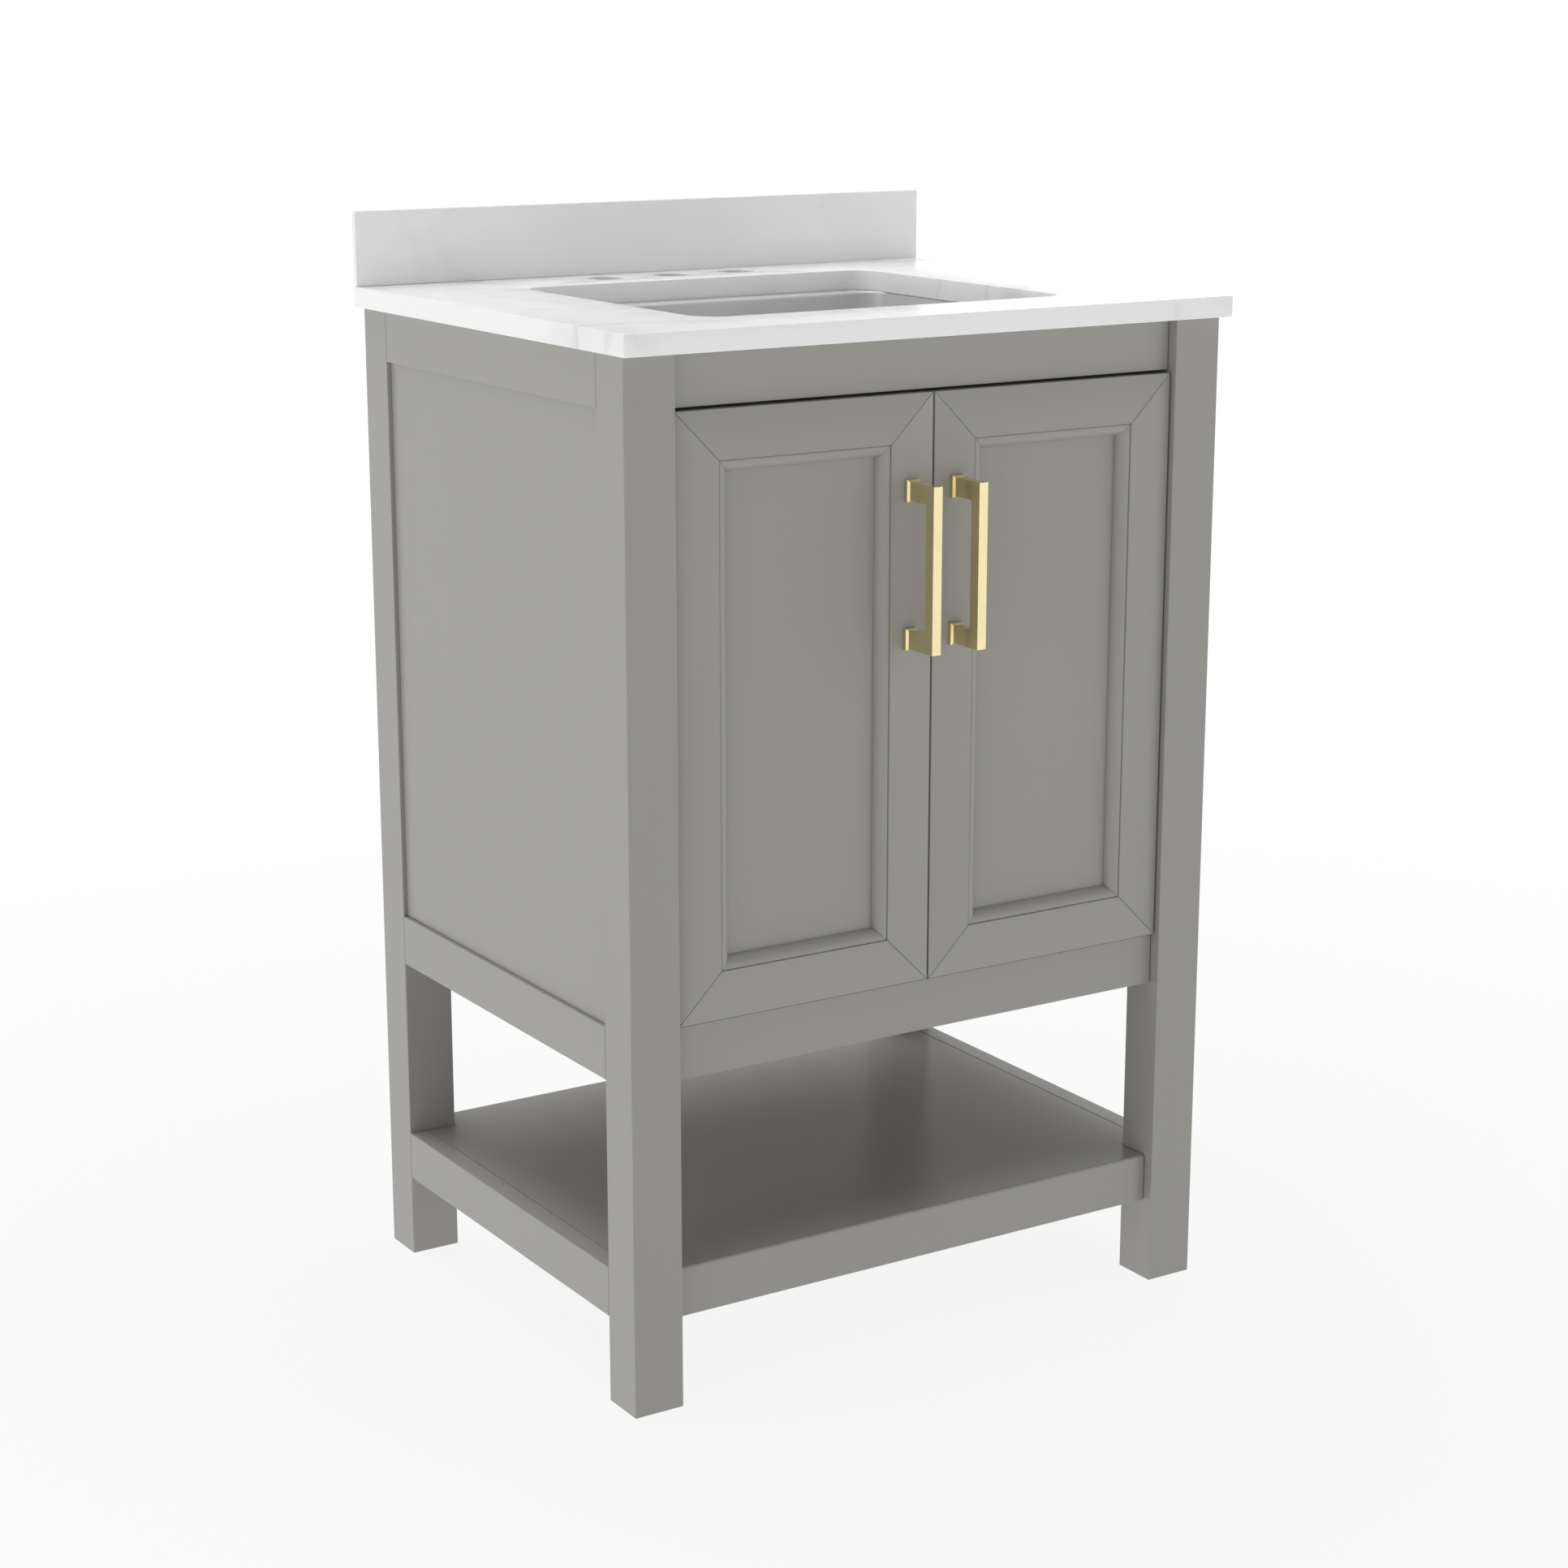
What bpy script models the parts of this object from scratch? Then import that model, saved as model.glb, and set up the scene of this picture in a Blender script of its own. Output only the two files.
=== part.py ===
"""Bathroom vanity cabinet: posts, rails, two inset doors, open lower shelf, stone top and basin.

Run with: blender --background --python part.py
Units are metres, +Z is up and the front faces -Y. The origin is on the floor, at the middle of the
whole object's width and depth.
"""
from math import cos, pi, radians, sin

import bmesh
import bpy
from mathutils import Matrix, Vector

# Carcass
BODY_W = 0.600
BODY_D = 0.472
BODY_H = 0.896
POST_W = 0.047
POST_D = 0.044
FIT = 0.0003                # gap between pieces that touch
SIDE_RAIL_T = 0.020
FRONT_RAIL_T = 0.018
FRONT_RAIL_SET_BACK = 0.0105
TOP_RAIL_LOW = 0.8514
BOTTOM_RAIL_LOW = 0.290
BOTTOM_RAIL_TOP = 0.336
SIDE_PANEL_SET_BACK = 0.004
SIDE_PANEL_T = 0.015
FLOOR_T = 0.018
BACK_PANEL_T = 0.006
BACK_PANEL_SET_IN = 0.011
PLUMBING_W = 0.300
PLUMBING_LOW = 0.450
PLUMBING_HIGH = 0.740
HINGE_STRIP_D = 0.064
STOP_RAIL_LOW = 0.838
STOP_RAIL_TOP = 0.868
BUMPER_R = 0.0045
BUMPER_X = 0.020

# Lower shelf
SHELF_TOP = 0.1218
SHELF_RAIL_LOW = 0.0774
SHELF_RAIL_T = 0.018
SHELF_T = 0.018
SHELF_SEAM = 0.0008         # open seam beside the shelf rails and round the posts
SHELF_REAR_SET_IN = 0.0137
SHELF_ARRIS = 0.002
RAIL_END_ARRIS = 0.0012

# Top, backsplash and basin
TOP_T = 0.0186
TOP_SIDE_OUT = 0.0053
TOP_FRONT_OUT = 0.0116
TOP_REAR_OUT = 0.0085
TOP_ARRIS = 0.0008
SPLASH_H = 0.0668
SPLASH_T = 0.0065
CUTOUT_W = 0.372
CUTOUT_FRONT = 0.068        # from the posts' front faces
CUTOUT_REAR = 0.389
CUTOUT_R = 0.026
FAUCET_Y = 0.437
FAUCET_SPACING = 0.071
FAUCET_R = 0.017
LEDGE_REAR = 0.017          # rim of the basin seen behind its opening
LEDGE_BOW = 0.008
BASIN_FLANGE = 0.022
BASIN_DEPTH = 0.140
BASIN_T = 0.010
BASIN_FLOOR_R = 0.030
BASIN_LIP = 0.003
BASIN_TAPER = 0.008
DRAIN_R = 0.0225
DRAIN_FALL = 0.006
BASIN_CORNER_STEPS = 5
BASIN_SIDE_STEPS = 6
BASIN_FLOOR_STEPS = 4
BASIN_LIP_STEPS = 3

# Doors
DOOR_SET_BACK = 0.0053
DOOR_T = 0.020
DOOR_GAP = 0.002            # beside the posts and between the doors
DOOR_LOW = 0.3372
DOOR_TOP = 0.849
FRAME_FLAT = 0.0415
MOULD_W = 0.0105
PANEL_SET_BACK = 0.0105
PANEL_T = 0.006
PANEL_GROOVE = 0.008
QUIRK = 0.001
MOULD_STEPS = 7

# Pulls
PULL_EDGE = 0.0221          # from the door's free edge to the middle of the pull
PULL_Z = 0.7054
PULL_SPACING = 0.126
PULL_W = 0.0088
PULL_BAR = 0.0118
PULL_REACH = 0.0403
ARM_H = 0.016
FOOT_W = 0.0126
FOOT_H = 0.019
FOOT_T = 0.0052
FOOT_CHAMFER = 0.0016
SCREW_R = 0.0018
SCREW_HOLE_R = 0.0022
SCREW_HEAD_R = 0.004
SCREW_HEAD_T = 0.002
SCREW_BITE = 0.007

# Concealed hinges. U runs across the door from its hinge edge, V back from its front face.
HINGE_ZS = {"upper": 0.757, "lower": 0.429}
CUP_U = 0.0215
CUP_R = 0.0175
CUP_DEPTH = 0.012
CUP_WALL = 0.0013
CUP_FLANGE_T = 0.0012
CUP_FLANGE_W = 0.033
CUP_FLANGE_H = 0.056
PIN_U = 0.010
PIN_V = 0.0132
PIN_R = 0.00145
PIN_HALF = 0.0123
LINK_H = 0.010
LINK_T = 0.0024
LINK_EYE_R = 0.003
LINK_BORE_R = 0.00175
LINK_REACH_X = 0.0122
LINK_REACH_Y = 0.044
LINK_TRAVEL_X = 0.0068      # sideways travel of the link as the door opens
ARM_WALL = 0.0012
ARM_CLEAR = 0.0006
ARM_END = 0.098
ARM_CRANK_Y = 0.052
PLATE_LOW = 0.058
PLATE_H = 0.050
PLATE_T = 0.002

# Derived planes
PULL_OUT = PULL_REACH - DOOR_SET_BACK
FRONT_Y = (PULL_OUT - BODY_D - TOP_REAR_OUT) / 2
HALF_W = BODY_W / 2
INNER_X = HALF_W - POST_W                    # inner faces of the posts
REAR = BODY_D                                # rear faces of the posts, from their front faces
RAIL_BACK = FRONT_RAIL_SET_BACK + FRONT_RAIL_T
DOOR_BACK = DOOR_SET_BACK + DOOR_T
DOOR_W = INNER_X - DOOR_GAP * 1.5
DOOR_H = DOOR_TOP - DOOR_LOW
HINGE_X = INNER_X - DOOR_GAP                 # hinge edge of a door
TOP_Z = BODY_H + TOP_T
BASIN_RIM_Z = BODY_H - FIT

COLOURS = {
    "painted_wood": ((0.27, 0.268, 0.25), 0.42, 0.0),
    "interior_board": ((0.30, 0.297, 0.28), 0.55, 0.0),
    "stone": ((0.86, 0.86, 0.86), 0.25, 0.0),
    "glazed_ceramic": ((0.84, 0.84, 0.84), 0.12, 0.0),
    "brushed_brass": ((0.78, 0.62, 0.34), 0.30, 1.0),
    "hinge_steel": ((0.62, 0.62, 0.63), 0.28, 1.0),
    "clear_rubber": ((0.70, 0.70, 0.68), 0.50, 0.0),
}


def clear_scene():
    for item in list(bpy.data.objects):
        bpy.data.objects.remove(item, do_unlink=True)


def new_collection(name):
    collection = bpy.data.collections.new(name)
    bpy.context.scene.collection.children.link(collection)
    return collection


clear_scene()
PARTS = new_collection("bathroom_vanity_cabinet")
CUTTERS = new_collection("cutters")


def place(x, y, z):
    """A point from the cabinet's middle plane, the posts' front faces and the floor."""
    return Vector((x, FRONT_Y + y, z))


def finish_material(name, kind):
    colour, roughness, metallic = COLOURS[kind]
    material = bpy.data.materials.new(f"{name}_{kind}")
    material.use_nodes = True
    shader = material.node_tree.nodes["Principled BSDF"]
    shader.inputs["Base Color"].default_value = (*colour, 1.0)
    shader.inputs["Roughness"].default_value = roughness
    shader.inputs["Metallic"].default_value = metallic
    return material


def hang(item, origin, parent):
    """Puts an item at a place in the world, under a chain of unturned empties."""
    item.parent = parent
    item.location = origin
    while parent is not None:
        item.location -= parent.location
        parent = parent.parent


def add_part(name, mesh, kind, origin=(0.0, 0.0, 0.0), parent=None):
    """Links a mesh as a sub-part with a material of its own, at origin in the world."""
    part = bpy.data.objects.new(name, mesh)
    PARTS.objects.link(part)
    mesh.materials.append(finish_material(name, kind))
    hang(part, origin, parent)
    return part


def box_bmesh(low, high):
    """A block between two corners, centred on its own origin, and the world place of that centre."""
    low, high = Vector(low), Vector(high)
    size = high - low
    bm = bmesh.new()
    bmesh.ops.create_cube(bm, size=1.0, matrix=Matrix.Diagonal((*size, 1.0)))
    return bm, (low + high) / 2


def ease(bm, chosen, width, segments=2):
    """Rounds or chamfers the edges of a block that the test chooses by their middle point."""
    edges = [e for e in bm.edges if chosen((e.verts[0].co + e.verts[1].co) / 2)]
    bmesh.ops.bevel(bm, geom=edges, offset=width, segments=segments, profile=0.5, affect="EDGES")


def to_mesh(bm, name):
    mesh = bpy.data.meshes.new(name)
    bm.normal_update()
    bm.to_mesh(mesh)
    bm.free()
    return mesh


def block(name, low, high, kind, parent=None):
    bm, centre = box_bmesh(low, high)
    return add_part(name, to_mesh(bm, name), kind, centre, parent)


def add_cutter(name, mesh, origin):
    cutter = bpy.data.objects.new(name, mesh)
    CUTTERS.objects.link(cutter)
    cutter.location = origin
    cutter.hide_render = True
    cutter.display_type = "WIRE"
    return cutter


def block_cutter(name, low, high):
    bm, centre = box_bmesh(low, high)
    return add_cutter(name, to_mesh(bm, name), centre)


def rod_bmesh(radius, length, direction, sides):
    bm = bmesh.new()
    turn = Vector((0, 0, 1)).rotation_difference(Vector(direction)).to_matrix().to_4x4()
    bmesh.ops.create_cone(
        bm, cap_ends=True, segments=sides, radius1=radius, radius2=radius, depth=length, matrix=turn
    )
    return bm


def rod_cutter(name, radius, start, end, sides=16):
    start, end = Vector(start), Vector(end)
    bm = rod_bmesh(radius, (end - start).length, end - start, sides)
    return add_cutter(name, to_mesh(bm, name), (start + end) / 2)


def combine(part, other, operation="DIFFERENCE"):
    change = part.modifiers.new(other.name, "BOOLEAN")
    change.operation = operation
    change.object = other
    change.solver = "EXACT"


def empty(name, origin, parent=None):
    pivot = bpy.data.objects.new(name, None)
    PARTS.objects.link(pivot)
    hang(pivot, origin, parent)
    return pivot


# ---------------------------------------------------------------- carcass

def side_name(side):
    return "left" if side < 0 else "right"


def across(side, inner, outer):
    """The lower and higher X of a piece on one side, from its distances to the middle plane."""
    return (side * outer, side * inner) if side < 0 else (side * inner, side * outer)


def posts():
    for side in (-1, 1):
        x0, x1 = across(side, INNER_X, HALF_W)
        for row, y0 in (("front", 0.0), ("rear", BODY_D - POST_D)):
            name = f"{row}_{side_name(side)}_leg"
            block(name, place(x0, y0, 0), place(x1, y0 + POST_D, BODY_H), "painted_wood")


def side_frames():
    y0 = POST_D + FIT
    y1 = BODY_D - POST_D - FIT
    rails = {
        "top_rail": (TOP_RAIL_LOW, BODY_H, SIDE_RAIL_T),
        "bottom_rail": (BOTTOM_RAIL_LOW, BOTTOM_RAIL_TOP, SIDE_RAIL_T),
        "shelf_rail": (SHELF_RAIL_LOW, SHELF_TOP, SHELF_RAIL_T),
    }
    for side in (-1, 1):
        for rail, (low, high, thickness) in rails.items():
            x0, x1 = across(side, HALF_W - thickness, HALF_W)
            name = f"{side_name(side)}_side_{rail}"
            block(name, place(x0, y0, low), place(x1, y1, high), "painted_wood")
        outer = HALF_W - SIDE_PANEL_SET_BACK
        x0, x1 = across(side, outer - SIDE_PANEL_T, outer)
        low = place(x0, y0, BOTTOM_RAIL_TOP + FIT)
        high = place(x1, y1, TOP_RAIL_LOW - FIT)
        block(f"{side_name(side)}_side_panel", low, high, "painted_wood")


def cross_rail(name, y0, y1, low, high):
    half = INNER_X - FIT
    bm, centre = box_bmesh(place(-half, y0, low), place(half, y1, high))
    front = -(y1 - y0) / 2
    ease(bm, lambda m: abs(m.y - front) < 1e-6 and abs(m.x) > half / 2, RAIL_END_ARRIS)
    add_part(name, to_mesh(bm, name), "painted_wood", centre)


def cross_rails():
    rear0 = REAR - FRONT_RAIL_T
    cross_rail("front_top_rail", FRONT_RAIL_SET_BACK, RAIL_BACK, TOP_RAIL_LOW, BODY_H)
    cross_rail("front_bottom_rail", FRONT_RAIL_SET_BACK, RAIL_BACK, BOTTOM_RAIL_LOW, BOTTOM_RAIL_TOP)
    cross_rail("rear_top_rail", rear0, REAR, TOP_RAIL_LOW, BODY_H)
    cross_rail("rear_bottom_rail", rear0, REAR, BOTTOM_RAIL_LOW, BOTTOM_RAIL_TOP)


def notch_for_posts(part, half_x, gap, low, high):
    """Cuts a board's corners away round the four posts."""
    for side in (-1, 1):
        x0, x1 = across(side, INNER_X - gap, half_x + POST_W)
        for row, y0, y1 in (("front", -POST_D, POST_D + gap), ("rear", REAR - POST_D - gap, REAR + POST_D)):
            name = f"{part.name}_{row}_{side_name(side)}_notch"
            combine(part, block_cutter(name, place(x0, y0, low - FLOOR_T), place(x1, y1, high + FLOOR_T)))


def cabinet_floor():
    half = HALF_W - SIDE_RAIL_T - FIT
    low = BOTTOM_RAIL_TOP - FLOOR_T
    y1 = REAR - FRONT_RAIL_T - FIT
    corner0 = place(-half, RAIL_BACK + FIT, low)
    floor = block("cabinet_floor", corner0, place(half, y1, BOTTOM_RAIL_TOP), "interior_board")
    notch_for_posts(floor, half, FIT, low, BOTTOM_RAIL_TOP)


def back_panel():
    half = INNER_X - FIT
    y1 = REAR - BACK_PANEL_SET_IN
    y0 = y1 - BACK_PANEL_T
    low = place(-half, y0, BOTTOM_RAIL_TOP + FIT)
    panel = block("back_panel", low, place(half, y1, TOP_RAIL_LOW - FIT), "interior_board")
    x = PLUMBING_W / 2
    low = place(-x, y0 - BACK_PANEL_T, PLUMBING_LOW)
    high = place(x, y1 + BACK_PANEL_T, PLUMBING_HIGH)
    combine(panel, block_cutter("plumbing_opening", low, high))


def hinge_strips():
    y0 = POST_D + FIT
    for side in (-1, 1):
        x0, x1 = across(side, INNER_X, HALF_W - SIDE_RAIL_T - FIT)
        low = place(x0, y0, BOTTOM_RAIL_TOP + FIT)
        high = place(x1, y0 + HINGE_STRIP_D, TOP_RAIL_LOW - FIT)
        block(f"{side_name(side)}_hinge_strip", low, high, "interior_board")


def door_stop():
    half = INNER_X - FIT
    y0 = RAIL_BACK + FIT
    low = place(-half, y0, STOP_RAIL_LOW)
    high = place(half, y0 + FRONT_RAIL_T, STOP_RAIL_TOP)
    block("door_stop_rail", low, high, "interior_board")
    thickness = y0 - DOOR_BACK - 2 * FIT
    z = (STOP_RAIL_LOW + DOOR_TOP) / 2
    for side in (-1, 1):
        name = f"{side_name(side)}_door_bumper"
        bm = rod_bmesh(BUMPER_R, thickness, (0, 1, 0), 20)
        ease(bm, lambda m: m.y < 0 and m.xz.length > BUMPER_R / 2, thickness / 3)
        centre = place(side * BUMPER_X, DOOR_BACK + FIT + thickness / 2, z)
        bumper = add_part(name, to_mesh(bm, name), "clear_rubber", centre)
        bumper.data.shade_smooth()
        bumper.data.set_sharp_from_angle(angle=radians(35))


# ---------------------------------------------------------------- lower shelf

def shelf():
    half = HALF_W - SHELF_RAIL_T - SHELF_SEAM
    y1 = REAR - SHELF_REAR_SET_IN
    low = place(-half, FRONT_RAIL_SET_BACK, SHELF_RAIL_LOW)
    bm, centre = box_bmesh(low, place(half, y1, SHELF_TOP))
    front = low.y - centre.y
    ease(bm, lambda m: abs(m.y - front) < 1e-6 and m.z > 0 and abs(m.x) < 1e-6, SHELF_ARRIS, 3)
    board = add_part("shelf", to_mesh(bm, "shelf"), "painted_wood", centre)
    underside = block_cutter(
        "shelf_underside",
        place(-BODY_W, RAIL_BACK, SHELF_RAIL_LOW - SHELF_T),
        place(BODY_W, BODY_D + POST_D, SHELF_TOP - SHELF_T),
    )
    combine(board, underside)
    notch_for_posts(board, half, SHELF_SEAM, SHELF_RAIL_LOW, SHELF_TOP)


# ---------------------------------------------------------------- top and basin

def countertop():
    low = place(-HALF_W - TOP_SIDE_OUT, -TOP_FRONT_OUT, BODY_H + FIT)
    high = place(HALF_W + TOP_SIDE_OUT, BODY_D + TOP_REAR_OUT, TOP_Z)
    bm, centre = box_bmesh(low, high)
    ease(bm, lambda m: m.z > 0, TOP_ARRIS)
    top = add_part("countertop", to_mesh(bm, "countertop"), "stone", centre)
    bm, centre = box_bmesh(
        place(-CUTOUT_W / 2, CUTOUT_FRONT, BODY_H - TOP_T),
        place(CUTOUT_W / 2, CUTOUT_REAR, TOP_Z + TOP_T),
    )
    ease(bm, lambda m: abs(m.z) < 1e-6, CUTOUT_R, 6)
    combine(top, add_cutter("basin_cutout", to_mesh(bm, "basin_cutout"), centre))
    for index, offset in enumerate((-FAUCET_SPACING, 0.0, FAUCET_SPACING), start=1):
        start = place(offset, FAUCET_Y, BODY_H - TOP_T)
        end = place(offset, FAUCET_Y, TOP_Z + TOP_T)
        combine(top, rod_cutter(f"faucet_hole_{index}", FAUCET_R, start, end, 28))


def backsplash():
    y1 = BODY_D + TOP_REAR_OUT
    x = HALF_W + TOP_SIDE_OUT
    low = place(-x, y1 - SPLASH_T, TOP_Z + FIT)
    bm, centre = box_bmesh(low, place(x, y1, TOP_Z + SPLASH_H))
    ease(bm, lambda m: m.z > 0, TOP_ARRIS)
    add_part("backsplash", to_mesh(bm, "backsplash"), "stone", centre)


def basin_ring(half_x, front, rear, radius, bow, z):
    """Points round a rectangle with rounded corners, whose rear side bows forward by bow."""
    corners = (
        (half_x - radius, rear - radius, 0.0),
        (-half_x + radius, rear - radius, 0.5 * pi),
        (-half_x + radius, front + radius, pi),
        (half_x - radius, front + radius, 1.5 * pi),
    )
    points = []
    for index, (cx, cy, start) in enumerate(corners):
        for step in range(BASIN_CORNER_STEPS + 1):
            angle = start + 0.5 * pi * step / BASIN_CORNER_STEPS
            points.append(Vector((cx + radius * cos(angle), cy + radius * sin(angle), z)))
        next_x, next_y, _ = corners[(index + 1) % 4]
        last = points[-1].copy()
        ahead = Vector((next_x + radius * cos(angle), next_y + radius * sin(angle), z))
        for step in range(1, BASIN_SIDE_STEPS):
            points.append(last.lerp(ahead, step / BASIN_SIDE_STEPS))
    for point in points:
        if point.y > rear - radius:
            weight = (point.y - rear + radius) / radius
            point.y -= weight * bow * max(0.0, 1.0 - (point.x / half_x) ** 2)
    return points


def drain_ring(radius, centre_y, z, outside):
    """Points round the drain that face the points of the ring outside it."""
    points = []
    for point in outside:
        away = Vector((point.x, point.y - centre_y, 0)).normalized() * radius
        points.append(Vector((away.x, centre_y + away.y, z)))
    return points


def basin_shape(inset, radius):
    """Half width, front, rear and corner radius of the bowl's opening, drawn in by inset."""
    rear = CUTOUT_REAR - LEDGE_REAR
    return CUTOUT_W / 2 - inset, CUTOUT_FRONT + inset, rear - inset, radius


def floor_rings(thickness):
    """Rings round the fillet from the bowl's wall to its floor, on its skin or under it."""
    wall_low = BASIN_RIM_Z - BASIN_DEPTH + BASIN_FLOOR_R
    radius = BASIN_FLOOR_R + thickness
    rings = []
    for step in range(BASIN_FLOOR_STEPS + 1):
        angle = 0.5 * pi * step / BASIN_FLOOR_STEPS
        inset = BASIN_TAPER + BASIN_FLOOR_R - radius * cos(angle)
        shape = basin_shape(inset, radius)
        rings.append(basin_ring(*shape, LEDGE_BOW * cos(angle), wall_low - radius * sin(angle)))
    return rings


def drain_rings(thickness):
    """Rings down the dished floor to the flat seat of the drain and its hole."""
    floor = floor_rings(thickness)[-1]
    centre_y = (CUTOUT_FRONT + CUTOUT_REAR - LEDGE_REAR) / 2
    seat_z = BASIN_RIM_Z - BASIN_DEPTH - DRAIN_FALL - thickness
    return [
        drain_ring(DRAIN_R * 1.6, centre_y, seat_z + 0.001, floor),
        drain_ring(DRAIN_R * 1.5, centre_y, seat_z, floor),
        drain_ring(DRAIN_R, centre_y, seat_z, floor),
    ]


def rim_rings():
    """Rings over the flange's top and the rounded lip of the bowl."""
    rings = [flange_ring(BASIN_RIM_Z)]
    for step in range(BASIN_LIP_STEPS + 1):
        angle = 0.5 * pi * step / BASIN_LIP_STEPS
        inset = BASIN_LIP * (sin(angle) - 1.0)
        shape = basin_shape(inset, CUTOUT_R - inset)
        rings.append(basin_ring(*shape, LEDGE_BOW, BASIN_RIM_Z - BASIN_LIP * (1.0 - cos(angle))))
    return rings


def flange_ring(z):
    half = CUTOUT_W / 2 + BASIN_FLANGE
    front, rear = CUTOUT_FRONT - BASIN_FLANGE, CUTOUT_REAR + BASIN_FLANGE
    return basin_ring(half, front, rear, CUTOUT_R + BASIN_FLANGE, 0.0, z)


def sink_basin():
    """A bowl with a flange and a drain hole, lofted down its skin and back up its underside."""
    skin = rim_rings() + floor_rings(0.0) + drain_rings(0.0)
    under_rim = basin_ring(*basin_shape(-BASIN_T, CUTOUT_R + BASIN_T), LEDGE_BOW, BASIN_RIM_Z - BASIN_T)
    underside = [flange_ring(BASIN_RIM_Z - BASIN_T), under_rim]
    underside += floor_rings(BASIN_T) + drain_rings(BASIN_T)
    bm = bmesh.new()
    loops = [[bm.verts.new(place(*point)) for point in ring] for ring in skin + underside[::-1]]
    for outer, inner in zip(loops, loops[1:] + loops[:1]):
        for index in range(len(outer)):
            after = (index + 1) % len(outer)
            bm.faces.new((outer[index], outer[after], inner[after], inner[index]))
    basin = add_part("sink_basin", to_mesh(bm, "sink_basin"), "glazed_ceramic")
    basin.data.shade_smooth()
    basin.data.set_sharp_from_angle(angle=radians(30))


# ---------------------------------------------------------------- doors

def mould_profile():
    """Section of a frame member: X in from its outer edge, Y back from its front face."""
    edge = FRAME_FLAT + MOULD_W
    points = [(0.0, 0.0), (FRAME_FLAT, 0.0), (FRAME_FLAT, QUIRK)]
    drop = PANEL_SET_BACK - FIT - QUIRK
    for step in range(1, MOULD_STEPS + 1):
        t = step / MOULD_STEPS
        points.append((FRAME_FLAT + MOULD_W * t, QUIRK + drop * (t + t ** 2 * (3.0 - 2.0 * t)) / 2))
    groove = edge - PANEL_GROOVE
    back = PANEL_SET_BACK + PANEL_T + FIT
    points += [(groove, PANEL_SET_BACK - FIT), (groove, back), (edge, back), (edge, DOOR_T), (0.0, DOOR_T)]
    return points


def frame_member(name, length, turn, origin, parent):
    """A moulded member with mitred ends; its outer edge runs along Z before it is turned."""
    bm = bmesh.new()
    outline = [bm.verts.new((x, y, -length / 2 + x)) for x, y in mould_profile()]
    start = bm.faces.new(outline)
    grown = bmesh.ops.extrude_face_region(bm, geom=[start])
    for vert in (v for v in grown["geom"] if isinstance(v, bmesh.types.BMVert)):
        vert.co.z = length / 2 - vert.co.x
    for vert in bm.verts:
        vert.co.z -= (1 if vert.co.z > 0 else -1) * FIT / 2
    bmesh.ops.recalc_face_normals(bm, faces=bm.faces)
    bmesh.ops.transform(bm, matrix=turn, verts=bm.verts)
    member = add_part(name, to_mesh(bm, name), "painted_wood", origin, parent)
    member.data.shade_smooth()
    member.data.set_sharp_from_angle(angle=radians(25))
    return member


def door(side):
    name = side_name(side)
    pivot = empty(f"{name}_door_pivot", place(side * HINGE_X, DOOR_SET_BACK, DOOR_LOW))
    middle_x = side * (HINGE_X - DOOR_W / 2)
    middle_z = (DOOR_LOW + DOOR_TOP) / 2
    upright = Matrix.Identity(4)
    flipped = Matrix.Diagonal((-1, 1, 1, 1))
    outer = flipped if side > 0 else upright
    inner = upright if side > 0 else flipped
    hinge_at = place(side * HINGE_X, DOOR_SET_BACK, middle_z)
    lock_at = place(side * (HINGE_X - DOOR_W), DOOR_SET_BACK, middle_z)
    hinge_stile = frame_member(f"{name}_door_hinge_stile", DOOR_H, outer, hinge_at, pivot)
    lock_stile = frame_member(f"{name}_door_lock_stile", DOOR_H, inner, lock_at, pivot)
    top_turn = Matrix.Rotation(radians(90), 4, "Y")
    bottom_turn = Matrix.Rotation(radians(-90), 4, "Y")
    top_at = place(middle_x, DOOR_SET_BACK, DOOR_TOP)
    bottom_at = place(middle_x, DOOR_SET_BACK, DOOR_LOW)
    frame_member(f"{name}_door_top_rail", DOOR_W, top_turn, top_at, pivot)
    frame_member(f"{name}_door_bottom_rail", DOOR_W, bottom_turn, bottom_at, pivot)
    reach = FRAME_FLAT + MOULD_W - PANEL_GROOVE + FIT
    half = DOOR_W / 2 - reach
    y0 = DOOR_SET_BACK + PANEL_SET_BACK
    low = place(middle_x - half, y0, DOOR_LOW + reach)
    high = place(middle_x + half, y0 + PANEL_T, DOOR_TOP - reach)
    block(f"{name}_door_panel", low, high, "painted_wood", pivot)
    for level, z in HINGE_ZS.items():
        x = side * (HINGE_X - CUP_U)
        start = place(x, DOOR_BACK - CUP_DEPTH - FIT, z)
        end = place(x, DOOR_BACK + CUP_DEPTH, z)
        combine(hinge_stile, rod_cutter(f"{name}_{level}_cup_bore", CUP_R + FIT, start, end, 32))
    pull(side, lock_stile, pivot)
    return pivot


# ---------------------------------------------------------------- pulls

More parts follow.
